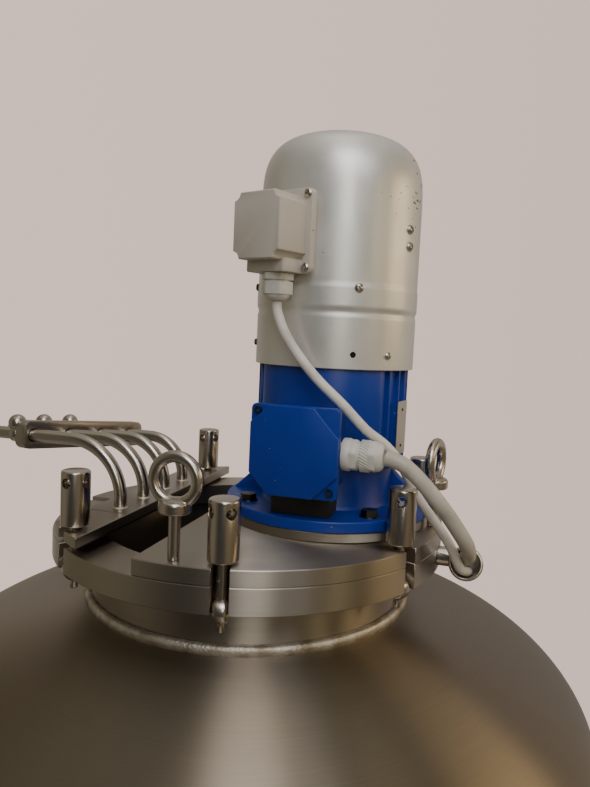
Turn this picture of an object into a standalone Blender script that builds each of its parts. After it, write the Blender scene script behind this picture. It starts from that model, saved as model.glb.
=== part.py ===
"""Dissolver tank: a stainless vessel on four legs with a bolted lid that carries the mixer motor.

Metres, +Z up. The origin is on the floor, on the tank's axis. +X points from the dosing bar
towards the motor, and the side with the terminal box looks along -Y.
"""

import math

import bmesh
import bpy
from mathutils import Matrix, Vector

GAP = 0.0003                       # clearance left between pieces that touch
MERGE = 0.00005                    # merge distance of the turned shapes

# Tank
LID_PLANE_Z = 1.350                # split plane between the lid and the flange under it
TANK_R = 0.440
TANK_WALL = 0.005
HEAD_DEPTH = 0.172                 # ellipsoidal head, from tangent line to apex
SHELL_HEIGHT = 0.650
NECK_R = 0.200
NECK_WALL = 0.006
NECK_FOOT_Z = LID_PLANE_Z - 0.086  # where the head's skin meets the neck
HEAD_STEPS = 9

# Flange, lid and dosing bar
FLANGE_R = 0.245
FLANGE_BORE_R = 0.1897
FLANGE_THICK = 0.0285
LID_THICK = 0.0176
LID_CHORD_X = -0.0381
BAR_THICK = 0.0120
BAR_TOP = 0.0186                   # above the split plane
BAR_NEAR_X = -0.1195
BAR_FAR_X = -0.1770
SEAL_SETBACK = 0.010
RIM_CHAMFER = 0.0010

# Closure bolts
BOLT_COUNT = 7                     # equal positions, of which the one at 180 degrees is empty
BOLT_CIRCLE_R = 0.230
FIRST_BOLT_DEG = 180.0
SLOT_WIDTH = 0.018
FLANGE_SLOT_R = 0.2208             # centre of the slot's round end, deeper in the flange for the eyes
SHANK_R = 0.006
EYE_R = 0.013
EYE_WIDTH = 0.0174
EYE_Z = -0.028                     # centre of the bolt's eye, from the split plane
STUB_R = 0.0042
STUB_END_Z = -0.050
NUT_R = 0.0158
NUT_HEIGHT = 0.062
NUT_FOOT_Z = 0.0212
NUT_HOLE_R = 0.0062
NUT_HOLE_STEP = 0.0003             # the cross hole is drilled this much smaller
NUT_HOLE_DROP = 0.0129             # hole axis below the nut's top
NUT_ROUND = 0.0022
NUT_TURNS_DEG = (31.0, 36.0, 28.0, 40.0, 53.0, 31.0)   # first cross hole of each nut, from the radius

# Lifting eyes
EYE_NUT_PLACES = ((270.35, 0.2300, 0.0), (0.0, 0.2332, -13.0), (90.0, 0.2300, 0.0))   # direction, reach, twist
EYE_NUT_R = 0.0230                 # to the middle of the ring's section
EYE_NUT_SECTION_R = 0.0060
EYE_NUT_BASE_R = 0.0160
EYE_NUT_BASE_Z = 0.0646
EYE_NUT_BASE_HEIGHT = 0.0125
EYE_NUT_CENTRE_Z = 0.0972
EYE_STUD_R = 0.0060

# Dosing tubes and their clamp
TUBE_R = 0.008
TUBE_FOOT_X = -0.1436
TUBE_PITCH = 0.0572
TUBE_BEND_R = 0.070
TUBE_TOP_Z = 0.0986                # axis of the front tube, above the split plane
TUBE_STEP_Z = -0.0060              # each tube behind it runs this much lower
TUBE_END_X = -0.352
CLAMP_X = -0.2600
CLAMP_YAW = math.radians(-11.9)
CLAMP_ROLL = math.radians(-6.0)
CLAMP_LENGTH = 0.220
CLAMP_OFFSET = 0.008               # its middle lies this far behind the middle of the four tubes
CLAMP_HEIGHT = 0.036
CLAMP_THICK = 0.016
CLAMP_CORNER_R = 0.011
CLAMP_HOLE_R = 0.0083

# Mixer motor
MOTOR_X = 0.100
PAD_R = 0.124
PAD_TOP_Z = 0.0288
MOTOR_FLANGE_R = 0.1265
MOTOR_FLANGE_TOP_Z = 0.0424
HUB_R = 0.0815
RIB_THICK = 0.014
RIB_DEGREES = (2.0, 92.0, 182.0)   # none under the terminal box
RIB_FOOT_R = 0.072                 # where a rib reaches its full height
BODY_FOOT_Z = 0.096
BODY_TOP_Z = 0.230                 # inside the cowl's skirt
BODY_R = 0.0870
FIN_HEIGHT = 0.0055
FIN_WIDTH = 0.0040
FIN_ANGLES = (-31.0, -19.0, -7.0, 7.0, 19.0, 31.0)   # on each side, from the side's middle
SMOOTH_STEP_DEG = 8.5              # facets of the smooth part between the two groups of fins
COWL_FOOT_Z = 0.207
COWL_R = 0.0977
COWL_DOME_Z = 0.393
COWL_TOP_Z = 0.4813
COWL_DOME_POWER = 0.58             # 1 is an ellipse; less is fuller at the shoulder and flatter on top
COWL_DOME_STEPS = 12
COWL_BORE_R = 0.0945
COWL_BORE_TOP_Z = 0.2305

# Terminal box on the motor, and the control box on the cowl
TERMINAL_X = 0.0933
TERMINAL_FACE_Y = -0.145
TERMINAL_WIDTH = 0.0986
TERMINAL_LOW_Z = 0.0696
TERMINAL_HIGH_Z = 0.1681
TERMINAL_COVER_DEPTH = 0.012
TERMINAL_INSET = 0.006             # the body is this much smaller than its cover all round
TERMINAL_BACK_Y = -0.070           # before the saddle is cut to the motor's body
CONTROL_DEG = -112.9
CONTROL_PLATE_R = 0.1083           # outer face of the base plate, from the motor axis
CONTROL_FACE_R = 0.1530
CONTROL_WIDTH = 0.0663
CONTROL_LOW_Z = 0.3213
CONTROL_HIGH_Z = 0.3923
CONTROL_CUT = 0.006                # corners taken off the box, where the plate's screws stand
CONTROL_PLATE_BACK_R = 0.0995
CONTROL_PLATE_WIDTH = 0.0791
CONTROL_PLATE_LOW_Z = 0.3099
CONTROL_PLATE_HIGH_Z = 0.4013
CONTROL_PLATE_CUT = 0.003
CONTROL_SADDLE_WIDTH = 0.050
CONTROL_BOSS_R = (0.1040, 0.1370)
CONTROL_BOSS_WIDTH = 0.056
CONTROL_BOSS_LOW_Z = 0.3096

# Glands, cables and the sleeve that takes both cables
GLAND_LOW_END_X = 0.1873
GLAND_LOW_Y = -0.120
GLAND_LOW_Z = 0.1178
GLAND_LOW_R = 0.0178
GLAND_LOW_NECK_R = 0.0125
GLAND_HIGH_R = 0.0182
GLAND_HIGH_REACH = 0.1175          # from the motor axis, along the control box's normal
GLAND_HIGH_SIDE = 0.0030
GLAND_HIGH_END_Z = 0.2793
FAN_CABLE_R = 0.0055
MOTOR_CABLE_R = 0.0085
SLEEVE_CENTRE = (0.2772, -0.0370, -0.0122)
SLEEVE_R = 0.0200
SLEEVE_BORE_R = 0.0155
SLEEVE_LENGTH = 0.060
SLEEVE_TILT = math.radians(18.0)
SLEEVE_FLOOR = 0.012
ARM_R = 0.0115

# Route points, from the gland's end to the bottom of the sleeve, above the split plane
FAN_CABLE_ROUTE = (
    (0.0570, -0.1087, 0.2779), (0.0584, -0.1090, 0.2671), (0.0687, -0.1109, 0.2441),
    (0.0870, -0.1128, 0.2189), (0.1103, -0.1132, 0.1941), (0.1381, -0.1107, 0.1694),
    (0.1627, -0.1001, 0.1430), (0.1841, -0.0891, 0.1256), (0.2017, -0.0781, 0.1029),
    (0.2172, -0.0711, 0.0724), (0.2399, -0.0665, 0.0417), (0.2579, -0.0629, 0.0164),
    (0.2685, -0.0561, -0.0066), (0.2729, -0.0476, -0.0161), (0.2792, -0.0367, -0.0210),
    (0.2797, -0.0158, -0.0273),
)
MOTOR_CABLE_ROUTE = (
    (0.1893, -0.1199, 0.1176), (0.2001, -0.1204, 0.1155), (0.2125, -0.1198, 0.1092),
    (0.2314, -0.1158, 0.0913), (0.2532, -0.1067, 0.0644), (0.2705, -0.0922, 0.0372),
    (0.2784, -0.0768, 0.0197), (0.2799, -0.0512, 0.0019), (0.2765, -0.0371, -0.0059),
    (0.2760, -0.0142, -0.0131),
)
ROUTE_STEPS = 3                    # tube points between two route points

# Legs and outlet
LEG_R = 0.0302
LEG_CENTRE_R = 0.5000
LEG_DEGREES = (45.0, 135.0, 225.0, 315.0)
LEG_TOP_Z = 0.760
FOOT_SIZE = 0.150
FOOT_THICK = 0.012
WEB_THICK = 0.010
LEG_PAD_THICK = 0.006
LEG_PAD_WIDTH = 0.160
LEG_PAD_LOW_Z = 0.500
LEG_PAD_HIGH_Z = 0.730
LEG_CAP_HEIGHT = 0.010
LEG_WEB_INSET = 0.015
OUTLET_R = 0.0302
OUTLET_BORE_R = 0.0273
OUTLET_END_Z = 0.190
OUTLET_FLANGE_R = 0.0825
OUTLET_FLANGE_THICK = 0.018

# Number plate, left bare
PLATE_DEG = -12.5
PLATE_BACK_R = 0.0925               # its back, against the corners of two fins
PLATE_SIZE = (0.030, 0.0016, 0.064)
PLATE_MID_Z = 0.1383

TOP_TANGENT_Z = NECK_FOOT_Z - HEAD_DEPTH * math.sqrt(1.0 - (NECK_R / TANK_R) ** 2)
SHELL_LOW_Z = TOP_TANGENT_Z - SHELL_HEIGHT


def srgb(hex_code):
    """Linear colour of an sRGB hex string."""
    channels = [int(hex_code[i:i + 2], 16) / 255 for i in (1, 3, 5)]
    linear = [c / 12.92 if c <= 0.04045 else ((c + 0.055) / 1.055) ** 2.4 for c in channels]
    return (*linear, 1.0)


def make_material(name, colour, roughness, metallic):
    material = bpy.data.materials.new(name)
    material.use_nodes = True
    shader = material.node_tree.nodes["Principled BSDF"]
    shader.inputs["Base Color"].default_value = srgb(colour)
    shader.inputs["Roughness"].default_value = roughness
    shader.inputs["Metallic"].default_value = metallic
    material.diffuse_color = srgb(colour)
    return material


def clear_scene():
    for item in list(bpy.data.objects):
        bpy.data.objects.remove(item, do_unlink=True)


def new_collection(name):
    collection = bpy.data.collections.new(name)
    bpy.context.scene.collection.children.link(collection)
    return collection


def new_empty(name, location, turn=0.0):
    empty = bpy.data.objects.new(name, None)
    empty.location = location
    empty.rotation_euler = (0.0, 0.0, turn)
    PARTS.objects.link(empty)
    return empty


def link_mesh(name, mesh, material=None, parent=None, location=(0.0, 0.0, 0.0), rotation=(0.0, 0.0, 0.0)):
    """Link a mesh as a part when it has a material, otherwise as a hidden cutter."""
    item = bpy.data.objects.new(name, mesh)
    item.parent = parent
    item.location = location
    item.rotation_euler = rotation
    if material is None:
        CUTTERS.objects.link(item)
        item.hide_render = True
        item.display_type = "WIRE"
    else:
        PARTS.objects.link(item)
        mesh.materials.append(material)
    return item


def mesh_from(name, build):
    """Make a mesh whose faces are drawn by build(bm)."""
    mesh = bpy.data.meshes.new(name)
    bm = bmesh.new()
    build(bm)
    bmesh.ops.recalc_face_normals(bm, faces=bm.faces)
    bm.to_mesh(mesh)
    bm.free()
    return mesh


def turned(name, profile, steps, material=None, parent=None, location=(0.0, 0.0, 0.0),
           rotation=(0.0, 0.0, 0.0), closed=False):
    """Turn an (r, z) profile round Z. It runs down its outer side, and a closed one is a ring."""
    mesh = bpy.data.meshes.new(name)
    points = [(r, 0.0, z) for r, z in profile]
    edges = [(i, i + 1) for i in range(len(points) - 1)]
    if closed:
        edges.append((len(points) - 1, 0))
    mesh.from_pydata(points, edges, [])
    item = link_mesh(name, mesh, material, parent, location, rotation)
    screw = item.modifiers.new("turn", "SCREW")
    screw.axis = "Z"
    screw.angle = math.tau
    screw.steps = steps
    screw.render_steps = steps
    screw.use_merge_vertices = True
    screw.merge_threshold = MERGE
    screw.use_smooth_shade = True
    return item


def prism(name, outline, low, high, material=None, parent=None, location=(0.0, 0.0, 0.0),
          rotation=(0.0, 0.0, 0.0)):
    """Extrude a flat outline between two heights."""
    def build(bm):
        ring = [bm.verts.new((x, y, low)) for x, y in outline]
        face = bm.faces.new(ring)
        moved = bmesh.ops.extrude_face_region(bm, geom=[face])["geom"]
        verts = [v for v in moved if isinstance(v, bmesh.types.BMVert)]
        bmesh.ops.translate(bm, verts=verts, vec=(0.0, 0.0, high - low))
    return link_mesh(name, mesh_from(name, build), material, parent, location, rotation)


def block(name, size, centre, material=None, parent=None, rotation=(0.0, 0.0, 0.0), bevel=0.0):
    """A box with its own place, with rounded edges where a bevel is given."""
    def build(bm):
        bmesh.ops.create_cube(bm, size=1.0, matrix=Matrix.Diagonal((*size, 1.0)))
    item = link_mesh(name, mesh_from(name, build), material, parent, centre, rotation)
    if bevel:
        edge = item.modifiers.new("round", "BEVEL")
        edge.width = bevel
        edge.segments = 2
        edge.limit_method = "ANGLE"
    return item


def boolean(item, other, operation="DIFFERENCE"):
    step = item.modifiers.new(other.name, "BOOLEAN")
    step.operation = operation
    step.object = other
    step.solver = "EXACT"
    return item


def arc(centre, radius, start_deg, end_deg, steps):
    """Points on an arc, ends included."""
    points = []
    for i in range(steps + 1):
        angle = math.radians(start_deg + (end_deg - start_deg) * i / steps)
        points.append((centre[0] + radius * math.cos(angle), centre[1] + radius * math.sin(angle)))
    return points


def chamfered_disc(radius, low, high, chamfer):
    return [(0.0, high), (radius - chamfer, high), (radius, high - chamfer),
            (radius, low + chamfer), (radius - chamfer, low), (0.0, low)]


def bolt_angles():
    return [math.radians(FIRST_BOLT_DEG + i * 360.0 / BOLT_COUNT) for i in range(BOLT_COUNT)]


def slot_cutter(name, centre_r):
    """All clamp slots in one cutter: each is open to the rim and round at its inner end."""
    half = SLOT_WIDTH / 2
    outline = arc((centre_r, 0.0), half, 90.0, 270.0, 8)
    outline += [(FLANGE_R + 0.03, -half), (FLANGE_R + 0.03, half)]

    def build(bm):
        for angle in bolt_angles():
            turn = Matrix.Rotation(angle, 4, "Z")
            ring = [bm.verts.new(turn @ Vector((x, y, -0.05))) for x, y in outline]
            face = bm.faces.new(ring)
            moved = bmesh.ops.extrude_face_region(bm, geom=[face])["geom"]
            verts = [v for v in moved if isinstance(v, bmesh.types.BMVert)]
            bmesh.ops.translate(bm, verts=verts, vec=(0.0, 0.0, 0.1))
    return link_mesh(name, mesh_from(name, build), parent=LID_CENTRE)


def head_profile(tangent_z, side, inner_r):
    """Half section of an ellipsoidal head's wall. side is +1 for the top head and -1 for the bottom."""
    def skin(radius, depth, from_r, offset):
        first = math.asin(min(1.0, from_r / radius))
        angles = [first + (math.pi / 2 - first) * i / HEAD_STEPS for i in range(HEAD_STEPS + 1)]
        return [(radius * math.sin(a), tangent_z + side * (depth * math.cos(a) + offset)) for a in angles]
    outer = skin(TANK_R, HEAD_DEPTH, inner_r, 0.0)
    inner = skin(TANK_R - TANK_WALL, HEAD_DEPTH - TANK_WALL, inner_r, 0.0)
    inner.reverse()
    ring = outer + inner
    return ring if side > 0 else list(reversed(ring))


def make_vessel():
    tangent = TOP_TANGENT_Z
    turned("top_head", head_profile(tangent, 1, NECK_R + GAP), 56, SATIN_STEEL, TANK_AXIS, closed=True)
    high, low = tangent - GAP, SHELL_LOW_Z + GAP
    inner_r = TANK_R - TANK_WALL
    turned("shell", [(TANK_R, high), (TANK_R, low), (inner_r, low), (inner_r, high)], 56,
           SATIN_STEEL, TANK_AXIS, closed=True)
    turned("bottom_head", head_profile(SHELL_LOW_Z, -1, OUTLET_R + GAP), 56, SATIN_STEEL,
           TANK_AXIS, closed=True)


def make_outlet():
    """Bottom outlet: a nozzle that stands in the head's hole and ends in a flat flange."""
    top = SHELL_LOW_Z - HEAD_DEPTH + TANK_WALL
    face = OUTLET_END_Z
    step = face + OUTLET_FLANGE_THICK
    profile = [(OUTLET_R, top), (OUTLET_R, step), (OUTLET_FLANGE_R, step), (OUTLET_FLANGE_R, face),
               (OUTLET_BORE_R, face), (OUTLET_BORE_R, top)]
    turned("outlet_nozzle", profile, 32, SATIN_STEEL, TANK_AXIS, closed=True)


def make_legs():
    """Four tube legs outside the shell, each with a foot plate, a web and a pad on the shell."""
    for number, degrees in enumerate(LEG_DEGREES, 1):
        frame = new_empty(f"leg_{number}_frame", (0.0, 0.0, 0.0), math.radians(degrees))
        foot_mid = FOOT_THICK / 2
        leg = turned(f"leg_{number}", [(0.0, LEG_TOP_Z + LEG_CAP_HEIGHT), (LEG_R - LEG_CAP_HEIGHT, LEG_TOP_Z + LEG_CAP_HEIGHT),
                                       (LEG_R, LEG_TOP_Z), (LEG_R, foot_mid), (0.0, foot_mid)],
                     20, SATIN_STEEL, frame, (LEG_CENTRE_R, 0.0, 0.0))
        foot = block(f"leg_{number}_foot", (FOOT_SIZE, FOOT_SIZE, FOOT_THICK), (LEG_CENTRE_R, 0.0, foot_mid),
                     parent=frame)
        inner = TANK_R + GAP
        outer = inner + LEG_PAD_THICK
        half = math.degrees(LEG_PAD_WIDTH / 2 / outer)
        outline = arc((0.0, 0.0), outer, -half, half, 8) + arc((0.0, 0.0), inner, half, -half, 8)
        pad = prism(f"leg_{number}_pad", outline, LEG_PAD_LOW_Z, LEG_PAD_HIGH_Z, parent=frame)
        web_in = outer - LEG_PAD_THICK / 2
        web_out = LEG_CENTRE_R - LEG_R / 2
        web_high = LEG_PAD_HIGH_Z - LEG_WEB_INSET
        web_low = LEG_PAD_LOW_Z + LEG_WEB_INSET
        web = block(f"leg_{number}_web", (web_out - web_in, WEB_THICK, web_high - web_low),
                    ((web_out + web_in) / 2, 0.0, (web_high + web_low) / 2), parent=frame)
        boolean(leg, foot, "UNION")
        boolean(leg, pad, "UNION")
        boolean(leg, web, "UNION")


def make_neck_and_flange(slots):
    low = NECK_FOOT_Z - LID_PLANE_Z - 0.022
    high = -FLANGE_THICK - GAP
    inner = NECK_R - NECK_WALL
    turned("neck", [(NECK_R, high), (NECK_R, low), (inner, low), (inner, high)], 56, SATIN_STEEL,
           LID_CENTRE, closed=True)
    c = RIM_CHAMFER
    profile = [(FLANGE_BORE_R, 0.0), (FLANGE_R - c, 0.0), (FLANGE_R, -c), (FLANGE_R, c - FLANGE_THICK),
               (FLANGE_R - c, -FLANGE_THICK), (FLANGE_BORE_R, -FLANGE_THICK)]
    flange = turned("lower_flange", profile, 84, MACHINED_STEEL, LID_CENTRE, closed=True)
    boolean(flange, slots)


def make_lid(slots):
    lid = turned("lid", chamfered_disc(FLANGE_R, GAP, LID_THICK, RIM_CHAMFER), 84, MACHINED_STEEL, LID_CENTRE)
    cut = block("lid_chord_cut", (0.4, 0.6, 0.1), (LID_CHORD_X - 0.2, 0.0, 0.0), parent=LID_CENTRE)
    boolean(lid, cut)
    boolean(lid, slots)


def make_dosing_bar(slots):
    """The straight bar across the opening, with the seal strip under it."""
    bottom = BAR_TOP - BAR_THICK
    bar = turned("dosing_bar", chamfered_disc(FLANGE_R, bottom, BAR_TOP, RIM_CHAMFER), 84, MACHINED_STEEL,
                 LID_CENTRE)
    strip = block("dosing_bar_strip", (BAR_NEAR_X - BAR_FAR_X, 0.6, 0.1),
                  ((BAR_NEAR_X + BAR_FAR_X) / 2, 0.0, 0.0), parent=LID_CENTRE)
    boolean(bar, strip, "INTERSECT")
    boolean(bar, slots)
    seal = turned("bar_seal", [(0.0, bottom - GAP), (FLANGE_R - SEAL_SETBACK, bottom - GAP),
                               (FLANGE_R - SEAL_SETBACK, GAP), (0.0, GAP)], 84, RUBBER, LID_CENTRE)
    inset = block("bar_seal_strip", (BAR_NEAR_X - BAR_FAR_X - 0.014, 0.6, 0.1),
                  ((BAR_NEAR_X + BAR_FAR_X) / 2 - 0.001, 0.0, 0.0), parent=LID_CENTRE)
    boolean(seal, inset, "INTERSECT")
    boolean(seal, slots)


def make_bolts():
    """Six bolts with an eye below and a barrel nut above. The position at 180 degrees is empty."""
    for number, angle in enumerate(bolt_angles()[1:], 1):
        frame = new_empty(f"bolt_{number}_frame", (0.0, 0.0, LID_PLANE_Z), angle)
        place = (BOLT_CIRCLE_R, 0.0, 0.0)
        top = NUT_FOOT_Z + 0.004
        bolt = turned(f"clamp_bolt_{number}", [(0.0, top), (SHANK_R, top), (SHANK_R, EYE_Z), (0.0, EYE_Z)],
                      14, POLISHED_STEEL, frame, place)
        eye = turned(f"clamp_bolt_{number}_eye", chamfered_disc(EYE_R, -EYE_WIDTH / 2, EYE_WIDTH / 2, 0.0025),
                     20, None, frame, (BOLT_CIRCLE_R, 0.0, EYE_Z), (math.pi / 2, 0.0, 0.0))
        stub = turned(f"clamp_bolt_{number}_stub", [(0.0, EYE_Z), (STUB_R, EYE_Z), (STUB_R, STUB_END_Z),
                                                    (0.0, STUB_END_Z)], 10, None, frame, place)
        boolean(bolt, eye, "UNION")
        boolean(bolt, stub, "UNION")
        make_barrel_nut(number, frame, place)


def make_barrel_nut(number, frame, place):
    high = NUT_FOOT_Z + NUT_HEIGHT
    r = NUT_ROUND
    bore = SHANK_R + GAP
    bore_top = NUT_FOOT_Z + 0.004 + GAP
    profile = [(0.0, high), (NUT_R - r, high), (NUT_R - 0.3 * r, high - 0.3 * r), (NUT_R, high - r),
               (NUT_R, NUT_FOOT_Z + r), (NUT_R - 0.3 * r, NUT_FOOT_Z + 0.3 * r), (NUT_R - r, NUT_FOOT_Z),
               (bore, NUT_FOOT_Z), (bore, bore_top), (0.0, bore_top)]
    nut = turned(f"barrel_nut_{number}", profile, 24, POLISHED_STEEL, frame, place)
    axis_z = high - NUT_HOLE_DROP
    for k, radius in enumerate((NUT_HOLE_R, NUT_HOLE_R - NUT_HOLE_STEP)):
        turn = Matrix.Rotation(math.radians(NUT_TURNS_DEG[number - 1] + 90.0 * k), 4, "Z")
        turn = turn @ Matrix.Rotation(math.pi / 2, 4, "X")

        def drill(bm, turn=turn, radius=radius):
            bmesh.ops.create_cone(bm, cap_ends=True, segments=12, radius1=radius, radius2=radius,
                                  depth=0.05, matrix=turn)
        hole = link_mesh(f"barrel_nut_{number}_hole_{k}", mesh_from("hole", drill), None, frame,
                         (BOLT_CIRCLE_R, 0.0, axis_z))
        boolean(nut, hole)


def make_lifting_eyes():
    """Three eye nuts, each on a stud that stands on the lid."""
    for number, (degrees, reach, twist) in enumerate(EYE_NUT_PLACES, 1):
        frame = new_empty(f"lifting_eye_{number}_frame", (0.0, 0.0, LID_PLANE_Z), math.radians(degrees))
        base_top = EYE_NUT_BASE_Z + EYE_NUT_BASE_HEIGHT
        base = turned(f"lifting_eye_{number}",
                      [(0.0, base_top), (EYE_NUT_BASE_R * 0.8, base_top),
                       (EYE_NUT_BASE_R, base_top - 0.002), (EYE_NUT_BASE_R, EYE_NUT_BASE_Z + 0.001),
                       (EYE_NUT_BASE_R - 0.001, EYE_NUT_BASE_Z), (EYE_STUD_R, EYE_NUT_BASE_Z),
                       (EYE_STUD_R, LID_THICK + GAP), (0.0, LID_THICK + GAP)],
                      20, POLISHED_STEEL, frame, (reach, 0.0, 0.0))
        circle = arc((EYE_NUT_R, 0.0), EYE_NUT_SECTION_R, 0.0, -324.0, 9)
        ring = turned(f"lifting_eye_{number}_ring", circle, 28, None, frame,
                      (reach, 0.0, EYE_NUT_CENTRE_Z), (0.0, math.pi / 2, math.radians(twist)), closed=True)
        boolean(base, ring, "UNION")


def make_tube(name, points, radius, material, sides=3):
    """A round bar or tube along points, as a filled and bevelled curve."""
    curve = bpy.data.curves.new(name, "CURVE")
    curve.dimensions = "3D"
    curve.bevel_depth = radius
    curve.bevel_resolution = sides
    curve.use_fill_caps = True
    spline = curve.splines.new("POLY")
    spline.points.add(len(points) - 1)
    for target, point in zip(spline.points, points):
        target.co = (*point, 1.0)
    curve.materials.append(material)
    item = bpy.data.objects.new(name, curve)
    item.parent = LID_CENTRE
    PARTS.objects.link(item)
    return item


def make_dosing_tubes():
    for number in range(4):
        y = (number - 1.5) * TUBE_PITCH
        top = TUBE_TOP_Z + number * TUBE_STEP_Z
        radius = min(TUBE_BEND_R, top - BAR_TOP - TUBE_R)
        bend = arc((TUBE_FOOT_X - radius, top - radius), radius, 0.0, 90.0, 9)
        path = [(TUBE_FOOT_X, y, BAR_TOP + GAP)] + [(x, y, z) for x, z in bend] + [(TUBE_END_X, y, top)]
        make_tube(f"dosing_tube_{number + 1}", path, TUBE_R, POLISHED_STEEL)


def make_tube_clamp():
    """The flat clamp that all four tubes pass through."""
    hw, hh, r = CLAMP_LENGTH / 2, CLAMP_HEIGHT / 2, CLAMP_CORNER_R
    outline = (arc((hw - r, hh - r), r, 0, 90, 5) + arc((r - hw, hh - r), r, 90, 180, 5)
               + arc((r - hw, r - hh), r, 180, 270, 5) + arc((hw - r, r - hh), r, 270, 360, 5))
    outline = [(x + CLAMP_OFFSET, y) for x, y in outline]
    mid_z = TUBE_TOP_Z + 1.5 * TUBE_STEP_Z
    upright = Matrix.Rotation(CLAMP_YAW, 4, "Z") @ Matrix.Rotation(CLAMP_ROLL, 4, "X")
    upright = upright @ Matrix.Rotation(math.pi / 2, 4, "Z") @ Matrix.Rotation(math.pi / 2, 4, "X")
    clamp = prism("tube_clamp", outline, -CLAMP_THICK / 2, CLAMP_THICK / 2, SATIN_STEEL, LID_CENTRE,
                  (CLAMP_X, 0.0, mid_z), upright.to_euler())

    def drill(bm):
        for number in range(4):
            y = (number - 1.5) * TUBE_PITCH
            z = TUBE_TOP_Z + number * TUBE_STEP_Z
            place = Matrix.Translation((CLAMP_X, y, z)) @ Matrix.Rotation(math.pi / 2, 4, "Y")
            bmesh.ops.create_cone(bm, cap_ends=True, segments=16, radius1=CLAMP_HOLE_R, radius2=CLAMP_HOLE_R,
                                  depth=0.12, matrix=place)
    boolean(clamp, link_mesh("tube_clamp_holes", mesh_from("tube_clamp_holes", drill), parent=LID_CENTRE))


def fin_outline():
    """Section of the motor's body: smooth at the front and back, finned on both sides."""
    half = math.degrees(FIN_WIDTH / 2 / BODY_R)
    crest = BODY_R + FIN_HEIGHT
    smooth_from = FIN_ANGLES[-1] + SMOOTH_STEP_DEG
    points = []
    for side in (0.0, 180.0):
        for fin in FIN_ANGLES:
            for turn, radius in ((-half, BODY_R), (-half, crest), (half, crest), (half, BODY_R)):
                angle = math.radians(side + fin + turn)
                points.append((radius * math.cos(angle), radius * math.sin(angle)))
        steps = round((180.0 - 2 * smooth_from) / SMOOTH_STEP_DEG)
        for k in range(steps + 1):
            angle = math.radians(side + smooth_from + (180.0 - 2 * smooth_from) * k / steps)
            points.append((crest * math.cos(angle), crest * math.sin(angle)))
    return points


def make_motor():
    turned("motor_pad", chamfered_disc(PAD_R, LID_THICK + GAP, PAD_TOP_Z, RIM_CHAMFER), 56, MACHINED_STEEL,
           MOTOR_AXIS)
    foot = PAD_TOP_Z + GAP
    body = prism("motor_body", fin_outline(), BODY_FOOT_Z, BODY_TOP_Z, MOTOR_BLUE, MOTOR_AXIS)
    top = MOTOR_FLANGE_TOP_Z
    c = 0.002
    shield = turned("motor_shield", [(0.0, BODY_FOOT_Z + 0.010), (HUB_R, BODY_FOOT_Z + 0.010), (HUB_R, top),
                                     (MOTOR_FLANGE_R - c, top), (MOTOR_FLANGE_R, top - c),
                                     (MOTOR_FLANGE_R, foot + c), (MOTOR_FLANGE_R - c, foot), (0.0, foot)],
                    48, None, MOTOR_AXIS)
    boolean(body, shield, "UNION")
    reach = MOTOR_FLANGE_R - 0.005
    rib_high = BODY_FOOT_Z - 0.004
    for k, degrees in enumerate(RIB_DEGREES):
        outline = [(reach, top - 0.004), (reach, top + 0.001), (RIB_FOOT_R, rib_high), (HUB_R / 2, rib_high),
                   (HUB_R / 2, top - 0.004)]
        rib = prism(f"motor_rib_{k}", outline, -RIB_THICK / 2, RIB_THICK / 2, None, MOTOR_AXIS,
                    (0.0, 0.0, 0.0), (math.pi / 2, 0.0, math.radians(degrees)))
        boolean(body, rib, "UNION")


def make_cowl():
    """Fan cowl: a skirt over the body's top, a shallow bead, a straight part and a dome."""
    dome_h = COWL_TOP_Z - COWL_DOME_Z
    profile = [(0.0, COWL_TOP_Z)]
    for i in range(1, COWL_DOME_STEPS + 1):
        a = math.pi / 2 * i / COWL_DOME_STEPS
        profile.append((COWL_R * math.sin(a) ** COWL_DOME_POWER,
                        COWL_DOME_Z + dome_h * max(0.0, math.cos(a)) ** COWL_DOME_POWER))
    profile += [(COWL_R, 0.300), (COWL_R + 0.0012, 0.299), (COWL_R + 0.0012, 0.276), (COWL_R - 0.0008, 0.272),
                (COWL_R - 0.0008, 0.268), (COWL_R, 0.266), (COWL_R, COWL_FOOT_Z), (COWL_BORE_R, COWL_FOOT_Z),
                (COWL_BORE_R, COWL_BORE_TOP_Z), (0.0, COWL_BORE_TOP_Z)]
    turned("fan_cowl", profile, 56, COWL_GREY, MOTOR_AXIS)


def make_terminal_box():
    """Terminal box: a body saddled on the motor, behind a wider cover with rounded corners."""
    mid_z = (TERMINAL_LOW_Z + TERMINAL_HIGH_Z) / 2
    height = TERMINAL_HIGH_Z - TERMINAL_LOW_Z
    cover_back = TERMINAL_FACE_Y + TERMINAL_COVER_DEPTH
    box = block("terminal_box", (TERMINAL_WIDTH, TERMINAL_COVER_DEPTH, height),
                (TERMINAL_X, (TERMINAL_FACE_Y + cover_back) / 2, mid_z), MOTOR_BLUE, LID_CENTRE, bevel=0.004)
    front = cover_back - TERMINAL_COVER_DEPTH / 2
    body = block("terminal_box_body", (TERMINAL_WIDTH - 2 * TERMINAL_INSET, TERMINAL_BACK_Y - front,
                                       height - 2 * TERMINAL_INSET),
                 (TERMINAL_X, (TERMINAL_BACK_Y + front) / 2, mid_z), parent=LID_CENTRE)
    reach = BODY_R + FIN_HEIGHT + GAP
    saddle = turned("terminal_box_saddle", [(0.0, BODY_TOP_Z), (reach, BODY_TOP_Z), (reach, 0.0), (0.0, 0.0)], 56,
                    parent=MOTOR_AXIS)
    boolean(box, body, "UNION")
    boolean(box, saddle)


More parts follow.
